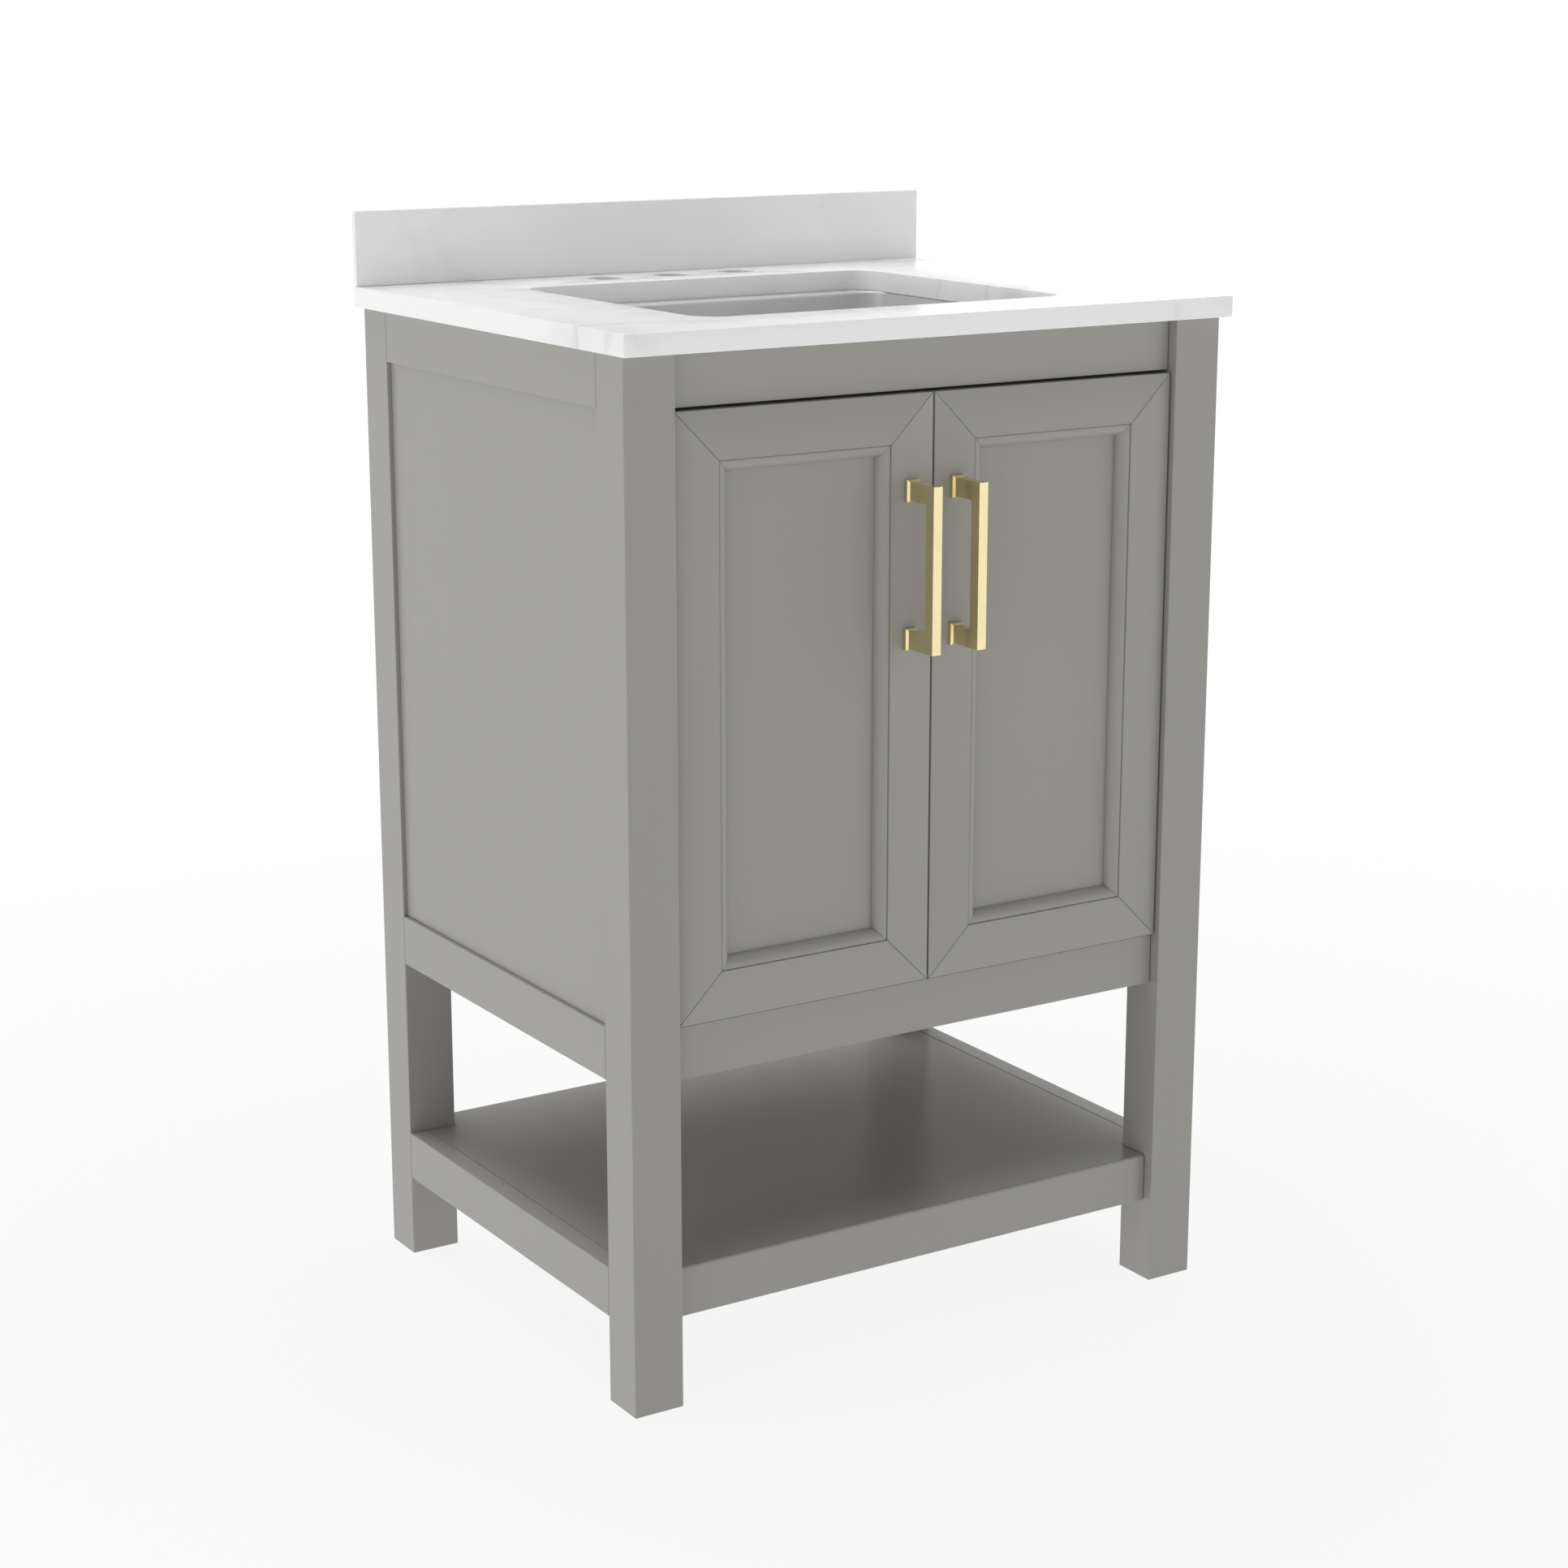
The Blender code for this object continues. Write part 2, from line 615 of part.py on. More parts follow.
def outline_bmesh(points, depth):
    """A flat outline in the YZ plane, given depth along X and centred on it."""
    curve = bpy.data.curves.new("outline", "CURVE")
    curve.dimensions = "2D"
    curve.fill_mode = "BOTH"
    curve.extrude = depth / 2
    for ring in points:
        spline = curve.splines.new("POLY")
        spline.points.add(len(ring) - 1)
        spline.use_cyclic_u = True
        for point, (u, v) in zip(spline.points, ring):
            point.co = (u, v, 0.0, 1.0)
    shape = bpy.data.objects.new("outline", curve)
    CUTTERS.objects.link(shape)
    bpy.context.view_layer.update()
    mesh = bpy.data.meshes.new_from_object(shape.evaluated_get(bpy.context.evaluated_depsgraph_get()))
    bpy.data.objects.remove(shape, do_unlink=True)
    bm = bmesh.new()
    bm.from_mesh(mesh)
    bpy.data.meshes.remove(mesh)
    bmesh.ops.remove_doubles(bm, verts=bm.verts, dist=1e-6)
    bmesh.ops.dissolve_limit(bm, angle_limit=radians(1), verts=bm.verts, edges=bm.edges)
    bmesh.ops.recalc_face_normals(bm, faces=bm.faces)
    return bm


def pull(side, stile, pivot):
    """A square-bar pull: one bent bar on two chamfered feet, with a screw through each foot."""
    name = side_name(side)
    x = side * (HINGE_X - DOOR_W + PULL_EDGE)
    foot_front = -FOOT_T - FIT
    tip = PULL_SPACING / 2 + ARM_H / 2
    root = PULL_SPACING / 2 - ARM_H / 2
    bar_back = -PULL_REACH + PULL_BAR
    outline = [
        (foot_front, tip), (-PULL_REACH, tip), (-PULL_REACH, -tip), (foot_front, -tip),
        (foot_front, -root), (bar_back, -root), (bar_back, root), (foot_front, root),
    ]
    bm = outline_bmesh([outline], PULL_W)
    turn = Matrix(((0, 0, 1, 0), (1, 0, 0, 0), (0, 1, 0, 0), (0, 0, 0, 1)))
    bmesh.ops.transform(bm, matrix=turn, verts=bm.verts)
    at = place(x, DOOR_SET_BACK, PULL_Z)
    bar = add_part(f"{name}_pull_bar", to_mesh(bm, f"{name}_pull_bar"), "brushed_brass", at, pivot)
    for level, way in (("upper", 1), ("lower", -1)):
        z = PULL_Z + way * PULL_SPACING / 2
        foot_low = place(x - FOOT_W / 2, DOOR_SET_BACK - FIT - FOOT_T, z - FOOT_H / 2)
        foot_high = place(x + FOOT_W / 2, DOOR_SET_BACK - FIT, z + FOOT_H / 2)
        bm, centre = box_bmesh(foot_low, foot_high)
        ease(bm, lambda m: abs(m.y + FOOT_T / 2) < 1e-6, FOOT_CHAMFER, 1)
        foot_name = f"{name}_pull_{level}_foot"
        foot = add_part(foot_name, to_mesh(bm, foot_name), "brushed_brass", centre, pivot)
        hole_end = DOOR_SET_BACK - FOOT_T - SCREW_BITE - FIT
        hole = rod_cutter(
            f"{name}_pull_{level}_hole", SCREW_HOLE_R,
            place(x, DOOR_BACK + DOOR_T, z), place(x, hole_end, z), 12,
        )
        for piece in (bar, foot, stile):
            combine(piece, hole)
        pull_screw(f"{name}_pull_{level}_screw", x, z, pivot)


def pull_screw(name, x, z, pivot):
    """A pan-head screw, turned from its profile and laid along Y."""
    tip = DOOR_SET_BACK - FOOT_T - SCREW_BITE + FIT
    seat = DOOR_BACK + FIT
    length = seat - tip
    profile = [
        (0.0, SCREW_HEAD_T), (SCREW_HEAD_R * 0.7, SCREW_HEAD_T), (SCREW_HEAD_R, SCREW_HEAD_T * 0.5),
        (SCREW_HEAD_R, 0.0), (SCREW_R, 0.0), (SCREW_R, SCREW_R - length), (SCREW_R / 2, -length), (0.0, -length),
    ]
    mesh = bpy.data.meshes.new(name)
    verts = [(radius, 0.0, height) for radius, height in profile]
    mesh.from_pydata(verts, [(i, i + 1) for i in range(len(verts) - 1)], [])
    screw = add_part(name, mesh, "hinge_steel", place(x, seat, z), pivot)
    screw.rotation_euler = (radians(-90), 0.0, 0.0)
    turned = screw.modifiers.new("turned", "SCREW")
    turned.axis = "Z"
    turned.steps = 12
    turned.render_steps = 12
    turned.use_merge_vertices = True
    turned.merge_threshold = 0.00001


# ---------------------------------------------------------------- hinges

def hinge_cup(name, side, z, pivot):
    """A pressed cup with its flange on the door's back, and the pin across it."""
    x = side * (HINGE_X - CUP_U)
    back = DOOR_BACK + FIT
    half_w, half_h = CUP_FLANGE_W / 2, CUP_FLANGE_H / 2
    bm, centre = box_bmesh(place(x - half_w, back, z - half_h), place(x + half_w, back + CUP_FLANGE_T, z + half_h))
    ease(bm, lambda m: abs(m.y) < 1e-6, 0.010, 4)
    cup = add_part(name, to_mesh(bm, name), "hinge_steel", centre, pivot)
    floor = DOOR_BACK - CUP_DEPTH
    shell = rod_cutter(f"{name}_shell", CUP_R - FIT / 2, place(x, floor, z), place(x, back + CUP_FLANGE_T / 2, z), 32)
    combine(cup, shell, "UNION")
    inner = CUP_R - CUP_WALL
    hollow_end = place(x, back + CUP_DEPTH, z)
    combine(cup, rod_cutter(f"{name}_hollow", inner, place(x, floor + CUP_WALL, z), hollow_end, 32))
    pin = place(side * (HINGE_X - PIN_U), DOOR_SET_BACK + PIN_V, z)
    reach = Vector((0, 0, PIN_HALF))
    combine(cup, rod_cutter(f"{name}_pin", PIN_R, pin - reach, pin + reach, 12), "UNION")


def hinge_link(name, side, z, link_pivot):
    """A cranked link: an eye round the cup's pin, out across the cup, then back into the arm."""
    half = LINK_T / 2
    bend = LINK_REACH_X
    outline = [
        (LINK_EYE_R * 0.8, -half), (bend + half, -half), (bend + half, LINK_REACH_Y),
        (bend - half, LINK_REACH_Y), (bend - half, half), (LINK_EYE_R * 0.8, half),
    ]
    bm = outline_bmesh([outline], LINK_H)
    flip = Matrix.Diagonal((-side, 1, 1, 1))
    bmesh.ops.transform(bm, matrix=flip, verts=bm.verts)
    bmesh.ops.recalc_face_normals(bm, faces=bm.faces)
    origin = place(side * (HINGE_X - PIN_U), DOOR_SET_BACK + PIN_V, z)
    link = add_part(name, to_mesh(bm, name), "hinge_steel", origin, link_pivot)
    reach = Vector((0, 0, LINK_H / 2))
    combine(link, rod_cutter(f"{name}_eye", LINK_EYE_R, origin - reach, origin + reach, 20), "UNION")
    combine(link, rod_cutter(f"{name}_bore", LINK_BORE_R, origin - 2 * reach, origin + 2 * reach, 16))


def hinge_arm(name, side, z):
    """A channel that the link slides in, cranked out from a plate screwed to the hinge strip."""
    face = INNER_X - FIT
    link_out = HINGE_X - PIN_U - LINK_REACH_X
    outer_x = link_out - LINK_T / 2 - LINK_TRAVEL_X - ARM_CLEAR
    web_x = outer_x - ARM_WALL
    half = LINK_H / 2 + ARM_CLEAR
    y0 = DOOR_BACK + 2 * CUP_FLANGE_T
    x0, x1 = across(side, web_x, face)
    outside_half = half + ARM_WALL
    arm = block(name, place(x0, y0, z - outside_half), place(x1, ARM_END, z + outside_half), "hinge_steel")
    x0, x1 = across(side, outer_x, face + ARM_END)
    low = place(x0, 0.0, z - half)
    combine(arm, block_cutter(f"{name}_channel", low, place(x1, ARM_END - ARM_WALL, z + half)))
    crank = link_out + LINK_T
    x0, x1 = across(side, crank, face + ARM_END)
    low = place(x0, 0.0, z - 2 * half)
    combine(arm, block_cutter(f"{name}_crank", low, place(x1, ARM_CRANK_Y, z + 2 * half)))
    x0, x1 = across(side, face - PLATE_T, face)
    low = place(x0, PLATE_LOW, z - PLATE_H / 2)
    plate = block_cutter(f"{name}_plate", low, place(x1, ARM_END - ARM_WALL / 2, z + PLATE_H / 2))
    combine(arm, plate, "UNION")


def hinges(side, pivot):
    name = side_name(side)
    pin_foot = place(side * (HINGE_X - PIN_U), DOOR_SET_BACK + PIN_V, DOOR_LOW)
    link_pivot = empty(f"{name}_link_pivot", pin_foot, pivot)
    for level, z in HINGE_ZS.items():
        hinge_cup(f"{name}_{level}_hinge_cup", side, z, pivot)
        hinge_link(f"{name}_{level}_hinge_link", side, z, link_pivot)
        hinge_arm(f"{name}_{level}_hinge_arm", side, z)


def main():
    posts()
    side_frames()
    cross_rails()
    cabinet_floor()
    back_panel()
    hinge_strips()
    door_stop()
    shelf()
    countertop()
    backsplash()
    sink_basin()
    for side in (-1, 1):
        hinges(side, door(side))


main()
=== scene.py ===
from math import cos, pi, radians, sin

import bmesh
import bpy
from mathutils import Matrix, Vector


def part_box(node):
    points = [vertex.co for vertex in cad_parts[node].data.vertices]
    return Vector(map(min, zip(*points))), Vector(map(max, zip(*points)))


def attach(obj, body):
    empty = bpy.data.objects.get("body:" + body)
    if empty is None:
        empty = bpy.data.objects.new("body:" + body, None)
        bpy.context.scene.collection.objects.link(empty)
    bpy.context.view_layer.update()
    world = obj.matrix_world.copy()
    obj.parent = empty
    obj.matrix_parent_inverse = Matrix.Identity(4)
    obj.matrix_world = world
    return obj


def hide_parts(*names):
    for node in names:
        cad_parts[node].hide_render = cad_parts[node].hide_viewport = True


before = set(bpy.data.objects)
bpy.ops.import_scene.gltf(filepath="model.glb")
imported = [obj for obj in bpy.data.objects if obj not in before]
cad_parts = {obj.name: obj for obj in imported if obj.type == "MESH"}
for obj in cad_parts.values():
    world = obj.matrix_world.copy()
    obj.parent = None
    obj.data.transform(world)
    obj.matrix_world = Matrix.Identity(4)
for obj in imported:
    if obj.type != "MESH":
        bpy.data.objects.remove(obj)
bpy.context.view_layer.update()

# Metres. The cabinet stands on the floor, its doors and pulls face -Y.
FIT = 0.0003                   # gap that touching pieces keep
FRONT_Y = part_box("front_left_leg")[0].y
TOP_LOW, TOP_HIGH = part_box("countertop")
BASIN_RIM_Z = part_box("sink_basin")[1].z
DOOR_FOOT_EASE = 0.0008        # the doors end this much above their nodes, so the gap below shows
DOOR_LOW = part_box("left_door_bottom_rail")[0].z + DOOR_FOOT_EASE
DOOR_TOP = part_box("left_door_top_rail")[1].z
HINGE_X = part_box("right_door_hinge_stile")[1].x
DOOR_W = HINGE_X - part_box("right_door_lock_stile")[0].x
DOOR_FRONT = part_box("right_door_hinge_stile")[0].y
DOOR_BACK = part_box("right_door_hinge_stile")[1].y
DOOR_T = DOOR_BACK - DOOR_FRONT

POST_ARRIS = 0.0007
RAIL_ARRIS = 0.0006
BOARD_ARRIS = 0.0004
THIN_ARRIS = 0.0003
CUP_ARRIS = 0.0002
WELD_GAP = 0.00001
JOIN_GAP = 0.000001
FLAT_ANGLE = 0.5               # degrees

FRAME_FLAT = 0.0415            # door frame, from its outer edge to the moulding
MOULD_W = 0.0105
PANEL_SET_BACK = 0.0105
PANEL_T = 0.006
PANEL_GROOVE = 0.008           # how far the panel's groove runs into the frame
QUIRK = 0.0008                 # step down from the flat to the moulding
QUIRK_SINK = 0.0007            # how much deeper the line along the flat is cut
QUIRK_W = 0.0010
QUIRK_EASE = 0.0003
QUIRK_SLOPE = 0.0001
OVOLO_END = radians(82)        # slope at which the moulding meets the panel
DOOR_ARRIS = 0.0006
BACK_ARRIS = 0.0005
MITRE_EASE = 0.0004

TOP_ARRIS = 0.0008
TOP_CORNER_R = 0.0012
CUTOUT_W = 0.372
CUTOUT_FRONT = 0.068
CUTOUT_REAR = 0.389
CUTOUT_R = 0.026
CUTOUT_STEPS = 16
FAUCET_Y = 0.437
FAUCET_SPACING = 0.071
FAUCET_R = 0.017
FAUCET_SIDES = 64

LEDGE_REAR = 0.017             # the basin ends this far before the cut-out's rear
LEDGE_BOW = 0.008
BASIN_FLANGE = 0.022
BASIN_DEPTH = 0.140
BASIN_T = 0.010
BASIN_FLOOR_R = 0.030
BASIN_LIP = 0.003
BASIN_TAPER = 0.008
DRAIN_R = 0.0225
DRAIN_FALL = 0.006
DRAIN_STEP = 0.0022
DRAIN_SLOPE_END = 1.9          # where the floor's fall ends, over the drain's radius
FALL_SHARES = (0.25, 0.5, 0.75)
FALL_CURVE = 1.5
DRAIN_SEAT = (                 # the step's radius over the drain's, and its rise over the seat
    (1.75, 0.0019), (1.66, 0.0014), (1.60, 0.0006), (1.55, 0.0001), (1.5, 0.0),
)
GLAZE_EASE = 0.001             # rounding of the basin's outer rim and drain hole
SEALANT_R = 0.0009

HEAD_HEIGHT = 0.42             # a screw head's height, cross arm and half width over its radius
CROSS_ARM = 0.62
CROSS_HALF = 0.13
HEAD_WALL = 0.3                # the upright part of a head, and the cross's floor, over its height
CROSS_FLOOR = 0.35
SCREW_TURN = 0.7               # radians between one head's cross and the next one's
HINGE_SCREW_R = 0.0037
ADJUSTER_R = 0.0027
BACK_SCREW_R = 0.0035
CUP_SCREW_Z = 0.0225
PLATE_T = 0.002
PLATE_SCREW_Z = 0.0185
PLATE_SCREW_BACK = 0.018
ADJUSTER_BACK = (0.008, 0.027)
BACK_SCREW_IN = 0.013

PULL_BAR = 0.0118
ARM_H = 0.016
PULL_EASE = 0.00045
PULL_FILLET = 0.0022
FOOT_CHAMFER = 0.0016
FOOT_EASE = 0.0002

CAMERA_AT = (-1.49785, -2.3475, 1.16558)
CAMERA_DOWN, CAMERA_TURN = 14.09, -32.36      # degrees
LENS, SENSOR = 71.81, 36.0     # millimetres

FLOOR_REACH = 40.0
FLOOR_DROP = 0.0003
FLOOR_COLOUR = (0.06, 0.06, 0.06)
FLOOR_SHADED_NEAR, FLOOR_FAR = 0.885, 1.0            # its glow under the cabinet, dimmed there as painted shade, and far from it
FLOOR_GLOW_FROM, FLOOR_GLOW_TO = 0.5, 4.0
BAND = (0.70, 4.0, 0.08)       # low band of light: strength, tightness, and what is left above it
SOFTBOXES = (                  # direction, tightness, strength
    ((0.0, 0.10, 1.0), 20.0, 5.6),
    ((0.0, 0.60, 0.80), 22.0, 5.0),
    ((-0.97, 0.0, 0.20), 5.0, 1.30),
    ((0.739, 0.665, 0.105), 60.0, 2.6),
    ((0.88, -0.40, 0.25), 8.0, 1.3),
)

PAINT_COLOUR = (0.324, 0.3175, 0.2955)
PAINT_ROUGHNESS = 0.32
SHELF_ROUGHNESS = 0.19
BOARD_COLOUR = (0.305, 0.299, 0.279)
BOARD_ROUGHNESS = 0.50
# raw board's brown, darkened as painted shade for the cabinet floor's faces that look down
RAW_AND_SHADE_COLOUR = (0.135, 0.105, 0.082)
STONE_WHITE = (0.91, 0.91, 0.913)
STONE_CLOUD = (0.62, 0.625, 0.635)
STONE_VEIN = (0.42, 0.425, 0.435)
# white glaze dimmed to a light grey, a painted shade for the inside of the bowl
GLAZE_SHADED_WHITE = (0.62, 0.62, 0.624)
SEALANT_COLOUR = (0.66, 0.66, 0.655)
SEALANT_ROUGHNESS = 0.40
RUBBER_COLOUR = (0.70, 0.70, 0.68)
BRASS = (0.89, 0.765, 0.45)
STEEL = (0.60, 0.595, 0.585)
ZINC_COLOUR = (0.56, 0.56, 0.55)
BRASS_ROUGHNESS, STEEL_ROUGHNESS, ZINC_ROUGHNESS = 0.21, 0.19, 0.36
BRASS_RUB = 0.06               # how much brighter a rubbed arris is
PAINT_WEAR_W = 0.0012
METAL_WEAR_W = 0.0009
PEEL_HEIGHT = 0.00001
GRAIN_HEIGHT = 0.00002
GLAZE_WAVE = 0.0004
BRUSH_HEIGHT = 0.00004
PAINT_SPREAD = 0.02            # how far the roughness wanders
BRUSH_SPREAD = 0.06
PAINT_WEAR = 0.10              # how much lighter a worn arris is
PAINT_POLISH = 0.02            # how much smoother a worn arris is
METAL_POLISH = 0.06
DOWNWARD = (-0.9, -0.5)        # upright parts of a normal between which the underside ends
STONE_WARP = 0.22
CLOUD_W, CLOUD_STRENGTH = 0.12, 0.24
VEIN_W, VEIN_STRENGTH = 0.022, 0.28
GLAZE_COAT, GLAZE_COAT_ROUGHNESS = 0.4, 0.04
RUBBER_CLEAR, RUBBER_IOR = 0.35, 1.45
NOISE_BULK = (0.3, 0.7)        # most of a noise's values lie between these two


# ---------------------------------------------------------------- node helpers

def add(tree, kind, inputs=None, **settings):
    """A shader node with its settings, its plain values and its links."""
    node = tree.nodes.new("ShaderNode" + kind)
    for key, value in settings.items():
        setattr(node, key, value)
    for key, value in (inputs or {}).items():
        if isinstance(value, bpy.types.NodeSocket):
            tree.links.new(value, node.inputs[key])
        else:
            node.inputs[key].default_value = value
    return node


def maths(tree, operation, a, b=0.0, c=0.0):
    return add(tree, "Math", {0: a, 1: b, 2: c}, operation=operation).outputs[0]


def vectors(tree, operation, a, b):
    return add(tree, "VectorMath", {0: a, 1: b}, operation=operation).outputs[0]


def noted(tree, name):
    return add(tree, "Attribute", attribute_type="OBJECT", attribute_name=name).outputs["Vector"]


def noise(tree, coords, scale, detail=2.0, roughness=0.5, stretch=None, distortion=0.0):
    """A noise of so many features a metre, stretched along an axis by a mapping."""
    if stretch:
        coords = add(tree, "Mapping", {"Vector": coords, "Scale": stretch}).outputs[0]
    return add(tree, "TexNoise", {
        "Vector": coords, "Scale": scale, "Detail": detail,
        "Roughness": roughness, "Distortion": distortion,
    }).outputs["Fac"]


def spread(tree, value, low, high, from_low=0.0, from_high=1.0):
    return add(tree, "MapRange", {
        "Value": value, "From Min": from_low, "From Max": from_high, "To Min": low, "To Max": high,
    }).outputs[0]


def tint(tree, colour, factor):
    """A colour made lighter or darker by a grey factor."""
    grey = add(tree, "CombineColor", {0: factor, 1: factor, 2: factor}).outputs[0]
    return add(tree, "Mix", {0: 1.0, 6: (*colour, 1.0), 7: grey}, data_type="RGBA",
               blend_type="MULTIPLY").outputs[2]


def blend(tree, factor, first, second):
    sockets = {0: factor}
    for key, value in ((6, first), (7, second)):
        sockets[key] = value if isinstance(value, bpy.types.NodeSocket) else (*value, 1.0)
    return add(tree, "Mix", sockets, data_type="RGBA").outputs[2]


def bump(tree, height, distance, strength=1.0, normal=None):
    sockets = {"Height": height, "Distance": distance, "Strength": strength}
    if normal:
        sockets["Normal"] = normal
    return add(tree, "Bump", sockets).outputs[0]


def new_material(name):
    """A material with an empty shader, and its tree and object coordinates."""
    material = bpy.data.materials.new(name)
    material.use_nodes = True
    tree = material.node_tree
    shader = tree.nodes["Principled BSDF"]
    coords = add(tree, "TexCoord").outputs["Object"]
    return material, tree, shader, coords


def wire(tree, shader, **sockets):
    names = {"colour": "Base Color", "roughness": "Roughness", "normal": "Normal"}
    for key, value in sockets.items():
        tree.links.new(value, shader.inputs[names[key]])


def edge_mask(tree, coords, width):
    """1 on the arrises of a piece's noted box and 0 inside its faces."""
    from_low = vectors(tree, "SUBTRACT", coords, noted(tree, "box_low"))
    from_high = vectors(tree, "SUBTRACT", noted(tree, "box_high"), coords)
    nearest = vectors(tree, "MINIMUM", from_low, from_high)
    parts = add(tree, "SeparateXYZ", {0: nearest}).outputs
    x, y, z = parts[0], parts[1], parts[2]
    smallest = maths(tree, "MINIMUM", maths(tree, "MINIMUM", x, y), z)
    largest = maths(tree, "MAXIMUM", maths(tree, "MAXIMUM", x, y), z)
    total = maths(tree, "ADD", maths(tree, "ADD", x, y), z)
    middle = maths(tree, "SUBTRACT", maths(tree, "SUBTRACT", total, smallest), largest)
    return add(tree, "MapRange", {
        "Value": middle, "From Min": 0.0, "From Max": width, "To Min": 1.0, "To Max": 0.0,
    }, interpolation_type="SMOOTHSTEP").outputs[0]


# ---------------------------------------------------------------- materials

def painted(name, colour, grain, roughness, below=None):
    """Satin paint on wood: faint clouds of tone, the grain showing through, a fine orange peel.

    A board may be left another colour below, where its faces look down; on the cabinet floor that
    is a raw brown darkened as painted shade.
    """
    material, tree, shader, coords = new_material(name)
    cloud = spread(tree, noise(tree, coords, 4.0, 2.0, 0.5), 0.993, 1.007, *NOISE_BULK)
    fine = spread(tree, noise(tree, coords, 800.0, 3.0, 0.6), 0.992, 1.008, *NOISE_BULK)
    lines = noise(tree, coords, 60.0, 3.0, 0.6, stretch=grain)
    streak = spread(tree, lines, 0.996, 1.004, *NOISE_BULK)
    worn = edge_mask(tree, coords, PAINT_WEAR_W)
    patchy = maths(tree, "MULTIPLY", worn, noise(tree, coords, 38.0, 3.0, 0.6))
    lighter = maths(tree, "MULTIPLY_ADD", patchy, PAINT_WEAR, 1.0)
    mottle = maths(tree, "MULTIPLY", cloud, fine)
    factor = maths(tree, "MULTIPLY", mottle, maths(tree, "MULTIPLY", streak, lighter))
    patches = noise(tree, coords, 90.0, 3.0)
    low, high = roughness - PAINT_SPREAD, roughness + PAINT_SPREAD
    rough = spread(tree, patches, low, high, 0.25, 0.75)
    rough = maths(tree, "SUBTRACT", rough, maths(tree, "MULTIPLY", worn, PAINT_POLISH))
    peel = noise(tree, coords, 520.0, 2.0, 0.5)
    normal = bump(tree, peel, PEEL_HEIGHT, 0.2)
    normal = bump(tree, lines, GRAIN_HEIGHT, 0.25, normal)
    finish = tint(tree, colour, factor)
    # painted shade: faces that look down take the darker colour below
    if below:
        facing = add(tree, "NewGeometry").outputs["True Normal"]
        upward = add(tree, "SeparateXYZ", {0: facing}).outputs[2]
        downward = spread(tree, upward, 1.0, 0.0, *DOWNWARD)
        finish = blend(tree, downward, finish, tint(tree, below, factor))
    wire(tree, shader, colour=finish, roughness=rough, normal=normal)
    return material


def stone():
    """White engineered stone: soft grey clouds and a few thin veins, polished."""
    material, tree, shader, coords = new_material("polished_stone")
    warp = add(tree, "TexNoise", {
        "Vector": coords, "Scale": 3.2, "Detail": 4.0, "Roughness": 0.6,
    }).outputs["Color"]
    shifted = vectors(tree, "SUBTRACT", warp, (0.5, 0.5, 0.5))
    pushed = add(tree, "VectorMath", {0: shifted, "Scale": STONE_WARP},
                 operation="SCALE").outputs[0]
    bent = vectors(tree, "ADD", coords, pushed)
    band = noise(tree, bent, 4.2, 3.0, 0.5, stretch=(1.0, 1.3, 0.8))
    ridge = maths(tree, "ABSOLUTE", maths(tree, "SUBTRACT", band, 0.5))
    vein = spread(tree, ridge, 1.0, 0.0, 0.0, VEIN_W)
    where = spread(tree, noise(tree, coords, 3.0, 2.0), 0.0, 1.0, 0.50, 0.66)
    vein = maths(tree, "MULTIPLY", vein, where)
    cloud = maths(tree, "MULTIPLY", spread(tree, ridge, 1.0, 0.0, 0.0, CLOUD_W), where)
    clouded = maths(tree, "MULTIPLY", cloud, CLOUD_STRENGTH)
    veined = maths(tree, "MULTIPLY", vein, VEIN_STRENGTH)
    colour = blend(tree, clouded, STONE_WHITE, STONE_CLOUD)
    colour = blend(tree, veined, colour, STONE_VEIN)
    speckle = noise(tree, coords, 700.0, 2.0, 0.6)
    colour = blend(tree, spread(tree, speckle, 0.0, 0.05, 0.5, 0.8), colour, STONE_VEIN)
    rough = spread(tree, noise(tree, coords, 30.0, 4.0, 0.6), 0.13, 0.21, *NOISE_BULK)
    normal = bump(tree, speckle, PEEL_HEIGHT, 0.3)
    wire(tree, shader, colour=colour, roughness=rough, normal=normal)
    return material


def ceramic():
    """White glaze dimmed to a light grey as painted shade for the bowl, slightly cloudy and wavy
    under a clear coat.
    """
    material, tree, shader, coords = new_material("white_glaze")
    cloud = spread(tree, noise(tree, coords, 14.0, 3.0), 0.985, 1.01, *NOISE_BULK)
    rough = spread(tree, noise(tree, coords, 40.0, 3.0), 0.06, 0.12, *NOISE_BULK)
    normal = bump(tree, noise(tree, coords, 22.0, 2.0), GLAZE_WAVE, 0.25)
    wire(tree, shader, colour=tint(tree, GLAZE_SHADED_WHITE, cloud), roughness=rough, normal=normal)
    shader.inputs["Coat Weight"].default_value = GLAZE_COAT
    shader.inputs["Coat Roughness"].default_value = GLAZE_COAT_ROUGHNESS
    return material


def brushed(name, colour, roughness, stretch, edge=0.0):
    """Metal with fine brush lines along one axis and brighter rubbed edges."""
    material, tree, shader, coords = new_material(name)
    lines = noise(tree, coords, 60.0, 5.0, 0.7, stretch=stretch)
    cloud = noise(tree, coords, 45.0, 3.0)
    brushing = spread(tree, lines, 0.93, 1.05, *NOISE_BULK)
    factor = maths(tree, "MULTIPLY", brushing, spread(tree, cloud, 0.97, 1.02, *NOISE_BULK))
    low, high = roughness - BRUSH_SPREAD, roughness + BRUSH_SPREAD
    rough = spread(tree, lines, low, high, *NOISE_BULK)
    if edge:
        worn = edge_mask(tree, coords, METAL_WEAR_W)
        rubbed = maths(tree, "MULTIPLY_ADD", worn, edge, 1.0)
        factor = maths(tree, "MULTIPLY", factor, rubbed)
        rough = maths(tree, "SUBTRACT", rough, maths(tree, "MULTIPLY", worn, METAL_POLISH))
    normal = bump(tree, lines, BRUSH_HEIGHT, 0.35)
    wire(tree, shader, colour=tint(tree, colour, factor), roughness=rough, normal=normal)
    shader.inputs["Metallic"].default_value = 1.0
    return material


